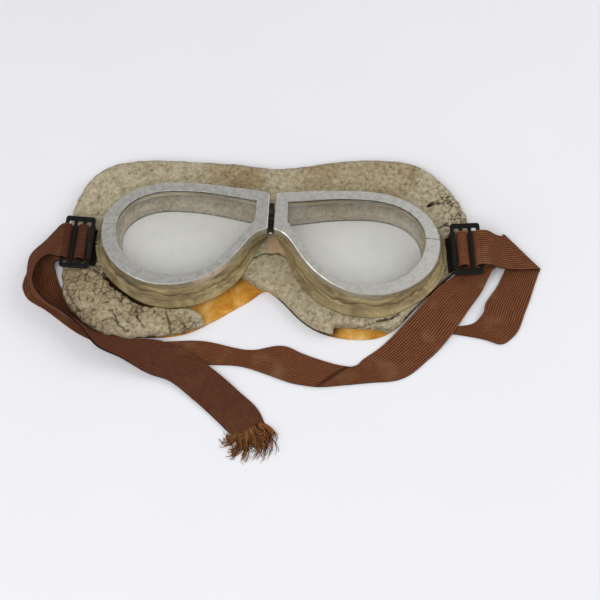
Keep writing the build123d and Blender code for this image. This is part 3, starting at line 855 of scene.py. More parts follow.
@dataclass(frozen=True)
class Suede(Finish):
    """Oil-tanned chamois: a short nap, honey to orange, painted dark brown as shade where the pad covers it
    and narrow gaps show it.

    The nap is drawn at 0.6 mm, coarser than a real one, so that it shows.
    """

    def paint(self, tree: Tree, surface: Node, place: Socket, end: Node) -> None:
        """Clouds tint the hide, a fine noise raises the nap and the mesh's own numbers paint shade on it
        where the pad covers it.

        Args:
            tree: the material's node tree.
            surface: the Principled node.
            place: the Object coordinates, in metres.
            end: the material's output node.
        """
        wide = add_node(
            tree, "ShaderNodeTexNoise",
            inputs={
                "Vector": place, "Scale": per_metre(12.0), "Detail": 6.0, "Roughness": 0.6, "Distortion": 0.5,
            },
        )
        tone = add_node(
            tree, "ShaderNodeValToRGB",
            [(0.28, "#8A5616"), (0.42, "#BC7C26"), (0.56, "#D39C44"), (0.74, "#E2BE7C")],
            {"Fac": wide.outputs["Fac"]},
        )
        nap = add_node(
            tree, "ShaderNodeTexNoise",
            inputs={"Vector": place, "Scale": per_metre(0.6), "Detail": 5.0, "Roughness": 0.7},
        )
        shade = add_node(
            tree, "ShaderNodeMapRange", inputs={0: nap.outputs["Fac"], 1: 0.3, 2: 0.7, 3: 0.78, 4: 1.08}
        )
        colour = add_node(
            tree, "ShaderNodeVectorMath", operation="SCALE",
            inputs={0: tone.outputs["Color"], "Scale": shade.outputs[0]},
        )
        # Painted shade: dark brown on the lining wherever the pad covers it, which shows in the narrow gaps.
        gap_shade = add_node(tree, "ShaderNodeAttribute", attribute_name="gap_shade")
        gap_shaded = add_node(
            tree, "ShaderNodeMix", data_type="RGBA",
            inputs={0: gap_shade.outputs["Fac"], 6: colour.outputs[0], 7: "#35281A"},
        )
        bump = add_node(
            tree, "ShaderNodeBump",
            inputs={"Strength": 0.5, "Distance": 0.2 * MM, "Height": nap.outputs["Fac"]},
        )
        surface.inputs["Roughness"].default_value = 0.9
        surface.inputs["Specular IOR Level"].default_value = 0.2
        tree.links.new(gap_shaded.outputs[2], surface.inputs["Base Color"])
        tree.links.new(bump.outputs[0], surface.inputs["Normal"])


@dataclass(frozen=True)
class Webbing(Finish):
    """Narrow woven cloth: warp cords along it, weft across it, faded on the crowns and painted dark between
    them as shade.

    The weft is drawn coarser than the half millimetre or less of a real one, so that it shows.
    """

    crown: str = "#875434"
    body: str = "#643A24"
    groove: str = "#30180C"
    faded: str = "#90704F"
    cord: float = 1.15
    weft: float = 0.9
    fading: float = 0.35
    relief: float = 0.5

    def paint(self, tree: Tree, surface: Node, place: Socket, end: Node) -> None:
        """Waves on the UV map give cords and weft, and a stretched noise on it gives loose fibres; the colour
        follows their height, with painted shade in the grooves.

        A cloud fades the cloth, and the mesh's own numbers paint shade into its creases.

        Args:
            tree: the material's node tree.
            surface: the Principled node.
            place: the Object coordinates, in metres.
            end: the material's output node.
        """
        cloth = add_node(tree, "ShaderNodeUVMap", uv_map="UVMap")
        split = add_node(tree, "ShaderNodeSeparateXYZ", inputs={0: cloth.outputs[0]})
        phase = add_node(
            tree, "ShaderNodeMath", operation="MULTIPLY",
            inputs={0: split.outputs[0], 1: math.pi * per_metre(self.cord)},
        )
        wave = add_node(tree, "ShaderNodeMath", operation="SINE", inputs={0: phase.outputs[0]})
        cord = add_node(tree, "ShaderNodeMath", operation="ABSOLUTE", inputs={0: wave.outputs[0]})
        pick = add_node(
            tree, "ShaderNodeMath", operation="MULTIPLY",
            inputs={0: split.outputs[1], 1: 2 * math.pi * per_metre(self.weft)},
        )
        shifted = add_node(
            tree, "ShaderNodeMath", operation="MULTIPLY_ADD",
            inputs={0: phase.outputs[0], 1: 1.0, 2: pick.outputs[0]},
        )
        weft = add_node(tree, "ShaderNodeMath", operation="SINE", inputs={0: shifted.outputs[0]})
        stretched = add_node(
            tree, "ShaderNodeMapping", inputs={"Vector": cloth.outputs[0], "Scale": (1.0, 0.18, 1.0)}
        )
        fibre = add_node(
            tree, "ShaderNodeTexNoise",
            inputs={"Vector": stretched.outputs[0], "Scale": per_metre(0.9), "Detail": 5.0, "Roughness": 0.7},
        )
        dirt = add_node(
            tree, "ShaderNodeTexNoise",
            inputs={"Vector": place, "Scale": per_metre(17.0), "Detail": 5.0, "Roughness": 0.6},
        )
        height = add_node(
            tree, "ShaderNodeMath", operation="MULTIPLY_ADD",
            inputs={0: weft.outputs[0], 1: 0.12, 2: cord.outputs[0]},
        )
        level = add_node(
            tree, "ShaderNodeMath", operation="MULTIPLY_ADD",
            inputs={0: fibre.outputs["Fac"], 1: 0.9, 2: height.outputs[0]},
        )
        # Painted shade: the colour runs from the groove colour low between the cords to the crown colour on
        # top.
        crowned = add_node(tree, "ShaderNodeMapRange", inputs={0: level.outputs[0], 1: 0.1, 2: 1.75})
        tone = add_node(
            tree, "ShaderNodeValToRGB",
            [(0.30, self.groove), (0.62, self.body), (0.95, self.crown)], {"Fac": crowned.outputs[0]},
        )
        amount = add_node(
            tree, "ShaderNodeMapRange",
            inputs={0: dirt.outputs["Fac"], 1: 0.52, 2: 0.75, 3: 0.0, 4: self.fading},
        )
        colour = add_node(
            tree, "ShaderNodeMix", data_type="RGBA",
            inputs={0: amount.outputs[0], 6: tone.outputs["Color"], 7: self.faded},
        )
        bump = add_node(
            tree, "ShaderNodeBump",
            inputs={"Strength": self.relief, "Distance": 0.25 * MM, "Height": level.outputs[0]},
        )
        # Painted shade: the crease field darkens the cloth to the groove colour along a fold.
        pressed = add_node(tree, "ShaderNodeAttribute", attribute_name="crease")
        creased = add_node(
            tree, "ShaderNodeMix", data_type="RGBA",
            inputs={0: pressed.outputs["Fac"], 6: colour.outputs[2], 7: self.groove},
        )
        surface.inputs["Roughness"].default_value = 0.9
        surface.inputs["Specular IOR Level"].default_value = 0.15
        tree.links.new(creased.outputs[2], surface.inputs["Base Color"])
        tree.links.new(bump.outputs[0], surface.inputs["Normal"])


@dataclass(frozen=True)
class Paper(Finish):
    """Smooth pale board for the floor, with nothing on it to draw the eye."""

    colour: str = "#E7E7EA"

    def paint(self, tree: Tree, surface: Node, place: Socket, end: Node) -> None:
        """Even colour with a very faint mottle.

        Args:
            tree: the material's node tree.
            surface: the Principled node.
            place: the Object coordinates, in metres.
            end: the material's output node.
        """
        mottle = add_node(
            tree, "ShaderNodeTexNoise", inputs={"Vector": place, "Scale": per_metre(60.0), "Detail": 3.0}
        )
        shade = add_node(tree, "ShaderNodeMapRange", inputs={0: mottle.outputs["Fac"], 3: 0.985, 4: 1.015})
        tint = add_node(
            tree, "ShaderNodeVectorMath", operation="SCALE",
            inputs={0: linear(self.colour)[:3], "Scale": shade.outputs[0]},
        )
        surface.inputs["Roughness"].default_value = 0.9
        surface.inputs["Specular IOR Level"].default_value = 0.1
        tree.links.new(tint.outputs[0], surface.inputs["Base Color"])


class Slot(Enum):
    """The record's material slots."""

    RIM = "rim_aluminium"
    LENS = "lens_glass"
    GASKET = "gasket_rubber"
    CUP = "cup_plastic"
    BLOCK = "joint_brass"
    BRIGHT = "bright_steel"
    DARK = "dark_steel"
    ENAMEL = "black_enamel"
    TAB = "tab_fabric"
    PAD = "pad_sponge"
    LINING = "chamois"
    STRAP = "strap_elastic"


FINISHES: dict[Slot, Finish] = {
    # Die-cast aluminium, satin: bright flats with grey oxide and small pits.
    Slot.RIM: SatinMetal("satin_aluminium"),
    # Polished laminate: clear with a handled haze.
    Slot.LENS: LensGlass("hazy_laminated_glass"),
    # Natural rubber strip: dull brown-grey.
    Slot.GASKET: Moulding("lens_rubber", ("#2E2922", "#40392F", "#544B3E"), roughness=0.7),
    # Cellulose acetate cup: olive-tan, lets a little light in, streaked, with painted shade along the fold
    # between its tiers.
    Slot.CUP: Moulding(
        "aged_acetate", ("#4E4226", "#92815A", "#BCAC80"),
        stained=0.5, see_through=0.2, roughness=0.42, relief=0.5, crease=1.0, fold=13.3,
    ),
    # Cast brass, tarnished: dull yellow-brown.
    Slot.BLOCK: SatinMetal(
        "tarnished_brass", "#B58E4C", "#7D6334", "#46381F", smooth=0.34, rough=0.55, grit=0.8
    ),
    # Turned steel, nickel plated: the brightest metal here.
    Slot.BRIGHT: SatinMetal("plated_steel", "#C8C6C0", "#8F8C84", "#4C4842", smooth=0.24, rough=0.42),
    # Blued steel gone brown: dark and dull.
    Slot.DARK: SatinMetal("blued_steel", "#5A544C", "#37322C", "#241F1A", smooth=0.40, rough=0.62),
    # Stoved enamel on pressed steel: near black, with brown chips.
    Slot.ENAMEL: WornEnamel("chipped_black_enamel"),
    # Black cotton tape, faded to rusty brown in places.
    Slot.TAB: Webbing(
        "black_tape", "#2C2925", "#1A1816", "#0B0A09", "#3A3128", cord=0.8, weft=0.8, fading=0.45, relief=0.6
    ),
    # Sponge rubber, dried out: matt grey-tan, pored and cracked, with painted shade in the pores and cracks.
    Slot.PAD: PerishedSponge("perished_sponge"),
    # Oil-tanned hide: matt orange nap, painted dark brown as shade where the pad covers it.
    Slot.LINING: Suede("chamois_hide"),
    # Red-brown rayon over rubber cords: ribbed, with pale crowns and dark grooves, the grooves' dark painted
    # in as shade.
    Slot.STRAP: Webbing("ribbed_strap_cloth"),
}


class Workshop:
    """Makes each finish once and puts it on the frame's nodes."""

    def __init__(self, frame: dict) -> None:
        """Builds every finish of the record's slots.
        """
        self.frame = frame
        self.materials = {slot: finish.build() for slot, finish in FINISHES.items()}
        self.plain_weave = Webbing(
            "plain_strap_cloth", "#7E4C33", "#533020", "#1C0E07", "#765238", cord=0.78, weft=0.75, relief=0.6
        ).build()
        # A darker copy of the strap cloth for the stretch inside the left slide: painted shade from the
        # slide's bars.
        self.shaded_weave = Webbing(
            "shaded_strap_cloth", "#6E3C28", "#48271B", "#1E0E08", "#5E4433", fading=0.3
        ).build()
        self.loose_yarn = Webbing(
            "loose_yarn", "#A06A3A", "#6A4022", "#2E1A0C", "#A8814F",
            cord=1.6, weft=0.6, fading=0.4, relief=0.2,
        ).build()

    def node(self, name: str) -> bpy.types.Object:
        """One of the frame's own pieces."""
        return self.frame["nodes"][name]

    def dress_frame(self) -> None:
        """Puts its finish on every node that stays showing."""
        both = {
            "rim": Slot.RIM, "lens": Slot.LENS, "lens_gasket": Slot.GASKET, "eyecup": Slot.CUP,
            "joint_block": Slot.BLOCK, "joint_screw_upper": Slot.BRIGHT, "joint_screw_lower": Slot.BRIGHT,
            "hinge_leaf": Slot.DARK, "leaf_rivet_upper": Slot.BRIGHT, "leaf_rivet_lower": Slot.BRIGHT,
            "slide": Slot.ENAMEL,
        }
        for side in ("left", "right"):
            for name, slot in both.items():
                dress(self.node(f"{side}_{name}"), self.materials[slot])
        dress(self.node("hinge_pin"), self.materials[Slot.BRIGHT])

    def finish_piece(
        self, obj: bpy.types.Object, slot: Slot, material: bpy.types.Material | None = None
    ) -> None:
        """Puts the finish of a slot, or the material given, on a new piece."""
        dress(obj, material or self.materials[slot])


# ---------------------------------------------------------------- sponge pad

CRACKS: tuple[Line, ...] = (
    ((-79, -37), (-77, -42), (-75, -46), (-71, -50)),
    ((-66.5, -35), (-65.5, -41), (-62.5, -46)),
    ((-52, -37), (-49, -44), (-48, -50)),
    ((-78, -42), (-84, -45)),
    ((79, 30), (83, 33), (90, 34), (92, 38)),
    ((87, 18), (90, 20), (94, 19)),
    ((53, -39), (60, -36), (69, -31)),
)


@dataclass
class FacePad:
    """The sponge rubber pad: lumpy and pored all over, cracked in front and at the right temple.

    Sizes, depths and places are in millimetres. A lump, a crumb and a rag each have a height and a
    size. A pore's edge lies between two shares of the pitch, and a seed has a pore if its value
    passes pore_pick. A face counts as the pad's side if its normal rises less than upright, and the
    push comes in between the two heights of foot, so that the underside stays flat.
    """

    voxel: float = 0.66
    lump: float = 0.55
    lump_size: float = 13.0
    crumb: float = 0.42
    crumb_size: float = 2.2
    ragged: float = 1.1
    ragged_size: float = 3.2
    pore_pitch: float = 2.2
    pore_depth: float = 0.6
    pore_edge: tuple[float, float] = (0.12, 0.40)
    pore_pick: tuple[float, float] = (0.64, 0.84)
    upright: tuple[float, float] = (0.25, 0.7)
    crack_width: float = 0.62
    crack_depth: float = 1.1
    crook: float = 1.1
    crook_size: float = 3.5
    swell: float = 1.6
    foot: tuple[float, float] = (0.8, 1.6)
    swollen: Spots = ((-103.0, -31.0, 8.0), (-96.0, -41.0, 8.0), (-86.0, -48.0, 9.0), (-74.0, -50.0, 9.0))
    broken: Spots = (
        (-92.0, -22.0, 22.0), (-78.0, -42.0, 34.0), (-48.0, -44.0, 22.0),
        (92.0, 32.0, 18.0), (62.0, -38.0, 18.0),
    )
    rotten: Spots = (
        (-20.0, 46.0, 20.0), (40.0, 50.0, 34.0), (-84.0, -38.0, 26.0),
        (-102.0, -20.0, 14.0), (-50.0, -46.0, 14.0), (60.0, 50.0, 20.0),
    )
    holed: Spots = (
        (-100.0, -27.0, 6.0), (-90.0, -37.0, 5.0), (-51.0, -42.0, 6.0),
        (94.0, 34.0, 9.0), (72.0, 48.0, 9.0), (-69.0, 48.0, 5.0),
    )
    nose_web: Spots = ((4.0, 4.0, 7.0), (12.0, -1.0, 5.0))
    nose_crease: Line = (
        (-20.0, -17.0), (-16.0, -11.0), (-10.0, -5.0), (-3.0, -1.0),
        (7.0, -2.0), (15.0, -10.0), (21.0, -19.0),
    )

    def build(self, shop: Workshop) -> bpy.types.Object:
        """Makes the pad from a fine remesh of its solid, pushed in and out along its normals.

        The push is lumps, crumbs and rags of rough noise, a swell of the side at the lower left, round
        pores at the seeds of a cell field where the seed's own value is high, and cracks along lines
        that a noise makes crooked.

        Args:
            shop: the finishes and the frame.

        Returns:
            The pad.
        """
        obj = bpy.data.objects.new("sponge_pad", merged_copy(shop.node("face_pad")))
        bpy.context.scene.collection.objects.link(obj)
        remesh = obj.modifiers.new("even", "REMESH")
        remesh.mode = "VOXEL"
        remesh.voxel_size = self.voxel * MM
        smooth = obj.modifiers.new("soften", "SMOOTH")
        smooth.factor = 0.5
        smooth.iterations = 3
        settled(obj)
        places, out = coordinates(obj.data), normals(obj.data)
        broken, holed = spot_mask(places, self.broken), spot_mask(places, self.holed)
        first, tag = cell_field(places, self.pore_pitch, Seed.PORES)
        pore = (1 - ease(first, *self.pore_edge)) * ease(tag + 0.5 * holed, *self.pore_pick)
        bent = np.stack([rough_noise(places, self.crook_size, Seed.BENDS + 9 * k) for k in range(3)], axis=1)
        crooked = places + self.crook * bent
        crack = np.zeros(len(places))
        width = self.crack_width * (1.0 + 0.8 * rough_noise(places, 2.5, Seed.CRACKS))
        for line in CRACKS:
            crack = np.maximum(crack, line_mask(crooked, line, width))
        crease = line_mask(crooked, self.nose_crease, width)
        side = 1 - ease(np.abs(out[:, 2]), *self.upright)
        push = self.lump * rough_noise(places, self.lump_size, Seed.LUMPS)
        push += self.crumb * (0.25 + broken) * rough_noise(places, self.crumb_size, Seed.CRUMBS)
        push += self.ragged * side * (0.4 + broken) * rough_noise(places, self.ragged_size, Seed.RAGS)
        push += self.swell * side * spot_mask(places, self.swollen)
        push -= self.pore_depth * pore + self.crack_depth * np.maximum(crack, 0.7 * crease)
        push *= ease(places[:, 2], *self.foot)
        set_coordinates(obj.data, places + out * push[:, None])
        # The pore field carries the painted shade of pores, cracks and the nose crease.
        set_field(obj.data, "pore", np.clip(0.6 * pore + 0.95 * np.maximum(crack, crease), 0, 1))
        patchy = 0.6 + 0.4 * rough_noise(places, 9.0, Seed.ROT)
        set_field(obj.data, "rot", 0.55 * spot_mask(places, self.rotten) * patchy)
        set_field(obj.data, "web", 0.7 * spot_mask(crooked, self.nose_web))
        set_field(obj.data, "broken", broken)
        shop.finish_piece(obj, Slot.PAD)
        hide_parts("face_pad")
        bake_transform(obj)
        return obj


@dataclass
class Lining:
    """The chamois under the pad, puckered where the pad has torn away from it.

    Sizes and places are in millimetres. The batch is how many points of the net are measured at once.
    """

    spacing: float = 2.0
    thickness: float = 0.8
    pucker: float = 0.55
    pucker_size: float = 11.0
    batch: int = 500
    open_places: Spots = (
        (-46.0, -37.0, 16.0), (-24.0, -32.0, 16.0), (-8.0, -22.0, 12.0),
        (50.0, -46.0, 16.0), (64.0, -46.0, 14.0),
    )

    def rim_of(self, mesh: bpy.types.Mesh) -> tuple[np.ndarray, list[tuple[int, ...]]]:
        """Edges of the flat top face of the lining's solid.

        Args:
            mesh: the solid's mesh, merged.

        Returns:
            The places of its corners seen from above, and the pairs of them that bound the face.
        """
        work = bmesh.new()
        work.from_mesh(mesh)
        work.normal_update()
        top = {f for f in work.faces if f.normal.z > 0.9}
        edges = [e for e in work.edges if sum(f in top for f in e.link_faces) == 1]
        corners = sorted({v.index for e in edges for v in e.verts})
        number = {index: k for k, index in enumerate(corners)}
        work.verts.ensure_lookup_table()
        flat = np.array([work.verts[i].co.xy for i in corners]) / MM
        pairs = [tuple(number[v.index] for v in e.verts) for e in edges]
        work.free()
        return flat, pairs

    def build(self, shop: Workshop) -> bpy.types.Object:
        """Fills the outline with an even net of triangles and lifts it into soft puckers.

        The height is a rough noise, allowed only over the open places, and the sheet then gets its
        thickness. A triangle stays if a line from its middle crosses the outline an odd number of
        times.

        Args:
            shop: the finishes and the frame.

        Returns:
            The lining.
        """
        flat, pairs = self.rim_of(merged_copy(shop.node("chamois_lining")))
        low, high = flat.min(axis=0), flat.max(axis=0)
        across = np.arange(low[0] + 1, high[0], self.spacing)
        along = np.arange(low[1] + 1, high[1], self.spacing)
        net = np.stack(np.meshgrid(across, along), axis=-1).reshape(-1, 2)
        gap = np.concatenate([
            np.linalg.norm(net[k : k + self.batch, None] - flat[None], axis=2).min(axis=1)
            for k in range(0, len(net), self.batch)
        ])
        net = net[gap > 0.45 * self.spacing]
        found = geometry.delaunay_2d_cdt(np.vstack([flat, net]).tolist(), pairs, [], 4, 1e-5)
        places = np.array([tuple(p) for p in found[0]])
        level = np.full(len(places), self.thickness)
        lifted = spot_mask(places, self.open_places)
        deep = np.column_stack([places, level])
        level = level + self.pucker * lifted * (0.6 + 0.6 * rough_noise(deep, self.pucker_size, Seed.PUCKERS))
        faces = np.array([f for f in found[2] if len(f) == 3])
        centre = places[faces].mean(axis=1)
        a, b = flat[np.array(pairs)[:, 0]], flat[np.array(pairs)[:, 1]]
        over = (a[None, :, 1] > centre[:, None, 1]) != (b[None, :, 1] > centre[:, None, 1])
        rise = np.where(np.abs(b - a)[:, 1] < 1e-9, 1e-9, (b - a)[:, 1])
        meet = a[None, :, 0] + (centre[:, None, 1] - a[None, :, 1]) * ((b - a)[:, 0] / rise)[None]
        inside = (over & (meet > centre[:, None, 0])).sum(axis=1) % 2 == 1
        obj = new_object("chamois_lining_hide", np.column_stack([places, level]), faces[inside])
        work = bmesh.new()
        work.from_mesh(obj.data)
        bmesh.ops.recalc_face_normals(work, faces=work.faces)
        if sum(f.normal.z for f in work.faces) < 0:
            bmesh.ops.reverse_faces(work, faces=work.faces)
        work.to_mesh(obj.data)
        work.free()
        wall = obj.modifiers.new("hide", "SOLIDIFY")
        wall.thickness = self.thickness * MM * 0.95
        wall.offset = -1.0
        settled(obj)
        # Painted shade: the lining turns dark brown away from the open places, under the pad's edges and in
        # the narrow gaps.
        skin = coordinates(obj.data)
        edge = 2.0 * rough_noise(skin, 5.0, Seed.GAP_SHADE)[:, None]
        set_field(obj.data, "gap_shade", 0.95 * (1 - spot_mask(skin + edge, self.open_places)))
        shop.finish_piece(obj, Slot.LINING)
        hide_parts("chamois_lining")
        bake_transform(obj)
        return obj


# ---------------------------------------------------------------- bands of cloth


@dataclass
class Band:
    """A narrow woven band between two edges, with raised cords along it and closed ends.

    Its middle surface runs straight from one edge to the other. Each face stands off it along the
    surface's normal by half the thickness, less a groove between each two cords, where a cord's
    height is that of a half circle.
    """

    thickness: float
    cords: int
    groove: float
    wrinkle: float = 0.12
    wrinkle_size: float = 6.0
    points_per_cord: int = 4
    width: float = STRAP_WIDTH

    def mesh(self, name: str, left: np.ndarray, right: np.ndarray, start: float) -> bpy.types.Object:
        """Makes a stretch of the band.

        Args:
            name: the piece's name.
            left: its left edge, one row a station, in millimetres.
            right: its right edge.
            start: length of band before its first station, in millimetres.

        Returns:
            The piece, with the cloth's own UV map.
        """
        share = np.linspace(0, 1, self.cords * self.points_per_cord + 1)
        middle = left[:, None] * (1 - share)[None, :, None] + right[:, None] * share[None, :, None]
        along = np.gradient(middle, axis=0)
        across = np.gradient(middle, axis=1)
        up = np.cross(across, along)
        up /= np.linalg.norm(up, axis=2, keepdims=True) + 1e-9
        run = start + row_length(middle)
        lanes = np.broadcast_to(share * self.width, middle.shape[:2])
        cloth = np.stack([lanes, np.broadcast_to(run[:, None], lanes.shape), np.zeros(lanes.shape)], axis=2)
        waves = rough_noise(cloth * (0.5, 1, 1), self.wrinkle_size, Seed.WRINKLES)
        middle = middle + up * (self.wrinkle * waves)[..., None]
        within = (share * self.cords) % 1.0
        bulge = np.sqrt(np.clip(1 - (2 * within - 1) ** 2, 0, 1))
        half = self.thickness / 2 - self.groove * (1 - bulge)
        half[[0, -1]] = 0.3 * self.thickness
        top, under = middle + up * half[None, :, None], middle - up * half[None, :, None]
        ring = np.concatenate([top, under[:, ::-1]], axis=1)
        rows, count = ring.shape[:2]
        a = (np.arange(rows - 1)[:, None] * count + np.arange(count)[None]).ravel()
        b = (np.arange(rows - 1)[:, None] * count + (np.arange(count)[None] + 1) % count).ravel()
        faces = np.stack([a, b, b + count, a + count], axis=1)
        k = np.arange(len(share) - 1)
        cap = np.stack([k, count - 1 - k, count - 2 - k, k + 1], axis=1)
        faces = np.concatenate([faces, cap, cap[:, ::-1] + (rows - 1) * count])
        points = ring.reshape(-1, 3)
        corner = points[faces]
        # Six times the volume; its sign tells which side the faces look to.
        volume = (np.cross(corner[:, 0], corner[:, 1]) * corner[:, 2]).sum()
        volume += (np.cross(corner[:, 0], corner[:, 2]) * corner[:, 3]).sum()
        obj = new_object(name, points, faces if volume > 0 else faces[:, ::-1])
        wide = np.tile(np.concatenate([share, share[::-1]]) * self.width, (rows, 1))
        laid = np.stack([wide, np.broadcast_to(run[:, None], wide.shape)], axis=2)
        set_uv(obj.data, laid.reshape(-1, 2) * MM)
        ends = {key for face in list(obj.data.polygons)[len(a) :] for key in face.edge_keys}
        for edge in obj.data.edges:
            edge.use_edge_sharp = edge.key in ends
        return obj


@dataclass
class Tuft:
    """Loose threads: thin tapered tubes that bend away from where they start."""

    thickness: float = 0.5
    steps: int = 9
    sides: int = 4
    curl: float = 0.0
    turns: float = 1.1

    def mesh(
        self, name: str, roots: np.ndarray, ways: np.ndarray, bends: np.ndarray, floor: float
    ) -> bpy.types.Object:
        """Makes one thread for each root.

        A thread runs along its way, plus its bend times the square of the share run and a curl that
        widens towards its tip, never lower than the floor. It thins towards its tip.

        Args:
            name: the piece's name.
            roots: where the threads start, in millimetres.
            ways: the straight run of each, with its length.
            bends: how far each tip bends away.
            floor: lowest height of a thread's middle.

        Returns:
            The threads as one piece.
        """
        t = np.linspace(0, 1, self.steps)
        path = roots[:, None] + ways[:, None] * t[None, :, None] + bends[:, None] * (t**2)[None, :, None]
        phase = 2 * np.pi * (self.turns * t[None] + lattice(np.floor(roots / 4), Seed.CURLS)[:, None])
        swirl = np.stack([np.sin(phase), np.cos(phase), 0.6 * np.sin(phase)], axis=-1)
        path += self.curl * t[None, :, None] * swirl
        path[..., 2] = np.maximum(path[..., 2], floor)
        along = np.gradient(path, axis=1)
        along /= np.linalg.norm(along, axis=2, keepdims=True) + 1e-9
        side = np.cross(along, np.broadcast_to((0.13, 0.21, 0.97), along.shape))
        side /= np.linalg.norm(side, axis=2, keepdims=True) + 1e-9
        lift = np.cross(side, along)
        angle = np.linspace(0, 2 * np.pi, self.sides, endpoint=False)
        radius = (self.thickness / 2 * (1 - 0.75 * t**2))[None, :, None, None]
        cosine, sine = np.cos(angle)[None, None, :, None], np.sin(angle)[None, None, :, None]
        ring = path[:, :, None] + radius * (side[:, :, None] * cosine + lift[:, :, None] * sine)
        threads, rows, count = ring.shape[:3]
        base = (np.arange(threads)[:, None, None] * rows + np.arange(rows - 1)[None, :, None]) * count
        a, b = base + np.arange(count), base + (np.arange(count) + 1) % count
        faces = np.stack([a, b, b + count, a + count], axis=-1).reshape(-1, 4)
        first = np.arange(threads)[:, None] * rows * count + np.arange(count)[::-1][None]
        last = np.arange(threads)[:, None] * rows * count + (rows - 1) * count + np.arange(count)[None]
        obj = new_object(name, ring.reshape(-1, 3), np.concatenate([faces, first, last]))
        work = bmesh.new()
        work.from_mesh(obj.data)
        bmesh.ops.recalc_face_normals(work, faces=work.faces)
        work.to_mesh(obj.data)
        work.free()
        spot = np.broadcast_to(t[None, :, None], ring.shape[:3]) * np.linalg.norm(ways, axis=1)[:, None, None]
        lane = np.broadcast_to(np.arange(threads)[:, None, None] * 0.7, ring.shape[:3])
        set_uv(obj.data, np.stack([lane, spot], axis=-1).reshape(-1, 2) * MM)
        return obj


@dataclass
class SlidePlace:
    """Where a strap slide stands: its centre and the heading of its first axis, which points outwards."""

    x: float
    y: float
    heading: float
    z: float = 14.2
    bar: float = 1.9
    slot: float = 2.6
    thickness: float = 1.6
    bars: int = 4

    @property
    def width(self) -> float:
        """Whole width of the slide across its bars."""
        return self.bars * self.bar + (self.bars - 1) * self.slot

    def at(self, s: np.ndarray, w: np.ndarray, z: np.ndarray) -> np.ndarray:
        """Turns runs from the slide's middle into places.

        Args:
            s: how far outwards, across the bars.
            w: how far along the bars.
            z: how far upwards.

        Returns:
            One place for each, in millimetres.
        """
        turn = math.radians(self.heading)
        x = self.x + s * math.cos(turn) - w * math.sin(turn)
        y = self.y + s * math.sin(turn) + w * math.cos(turn)
        return np.stack([x, y, self.z + z + 0 * s], axis=-1)


LEFT_SLIDE = SlidePlace(-99.8, -3.6, 178.0)
RIGHT_SLIDE = SlidePlace(101.3, 3.6, 6.0)


@dataclass
class SlideTab:
    """Black tape that loops round a slide's inner bar and goes down into the pad, frayed at its foot."""

    side: str
    place: SlidePlace
    width: float = 19.8
    thickness: float = 0.5
    wall: float = 0.58
    pad_top: float = 8.0
    samples: int = 70
    threads: int = 70
    root: float = 0.9
    seed: int = 5

    def build(self, shop: Workshop) -> None:
        """Carries the tape up from the pad, round the bar and down again, and adds its loose threads.

        The path goes round the bar on an oval that clears it by half the tape's wall, and its two
        legs go down into the pad.

        Args:
            shop: the finishes and the frame.
        """
        inner = -self.place.width / 2 + self.place.bar / 2
        radius = self.place.bar / 2 + self.wall / 2
        level = self.place.thickness / 2 + self.wall / 2
        drop = self.pad_top - self.place.z - 0.5
        turn = np.radians(np.arange(-60, 241, 20.0))
        near_leg, far_leg = [-3.2, -1.4, -0.35], [0.35, 0.5, 0.6]
        rising, falling = [drop, drop + 0.7, drop + 2.2], [drop + 3.0, drop + 1.5, drop]
        s = np.concatenate([near_leg, -radius * np.cos(turn[::-1]), far_leg])
        z = np.concatenate([rising, level * np.sin(turn[::-1]), falling])
        half = self.width / 2
        times = np.concatenate([[0.0], np.cumsum(np.hypot(np.diff(s), np.diff(z)))])
        fine = np.linspace(0, times[-1], self.samples)
        line = curve_through(np.stack([s, z], axis=1), times, fine)
        wavy = 0.25 * rough_noise(np.stack([fine, 0 * fine, 0 * fine], axis=1), 3.0, self.seed)
        left = self.place.at(inner + line[:, 0], half + wavy, line[:, 1])
        right = self.place.at(inner + line[:, 0], -half - wavy[::-1], line[:, 1])
        tape = Band(self.thickness, cords=24, groove=0.06, wrinkle=0.10, points_per_cord=3)
        obj = tape.mesh(f"{self.side}_tab_tape", left, right, 0.0)
        rng = np.random.default_rng(self.seed)
        count = self.threads
        w = rng.uniform(-half, half, count)
        near = inner - self.root + rng.uniform(-0.5, 0.4, count)
        roots = self.place.at(near, w, rng.uniform(-6.0, -1.0, count))
        away = inner - self.root - rng.uniform(0.5, 2.6, count)
        tips = self.place.at(away, w + rng.normal(0, 0.9, count), rng.uniform(-6.2, -3.0, count))
        bends = np.stack(
            [rng.normal(0, 0.8, count), rng.normal(0, 0.8, count), rng.uniform(-1.4, 0.4, count)], axis=1
        )
        tuft = Tuft(thickness=0.34, steps=7)
        threads = tuft.mesh(f"{self.side}_tab_fray", roots, tips - roots, bends, self.pad_top + 0.3)
        body = f"{self.side}_side"
        for piece in (obj, threads):
            shop.finish_piece(piece, Slot.TAB)
            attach(piece, body)
        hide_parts(f"{self.side}_slide_tab")


# ---------------------------------------------------------------- head strap

RIGHT_TAIL_SHARES: tuple[Row, ...] = (
    ((0.955, -0.350, 0.000), (0.950, -0.385, 0.000)), ((1.075, -0.315, 0.015), (1.125, -0.410, 0.000)),
    ((1.105, -0.280, 0.120), (1.215, -0.430, 0.000)), ((1.115, -0.260, 0.165), (1.275, -0.380, 0.000)),
    ((1.125, -0.210, 0.090), (1.330, -0.245, 0.000)), ((1.200, -0.070, 0.010), (1.380, -0.085, 0.000)),
    ((1.240, 0.075, 0.010), (1.400, -0.020, 0.015)), ((1.225, 0.175, 0.035), (1.405, -0.005, 0.035)),
    ((1.220, 0.185, 0.110), (1.405, 0.000, 0.110)), ((1.215, 0.185, 0.185), (1.395, -0.005, 0.185)),
    ((1.200, 0.170, 0.285), (1.300, -0.020, 0.255)), ((1.165, 0.155, 0.600), (1.190, -0.035, 0.580)),
    ((1.105, 0.145, 1.080), (1.130, -0.052, 1.075)),
)
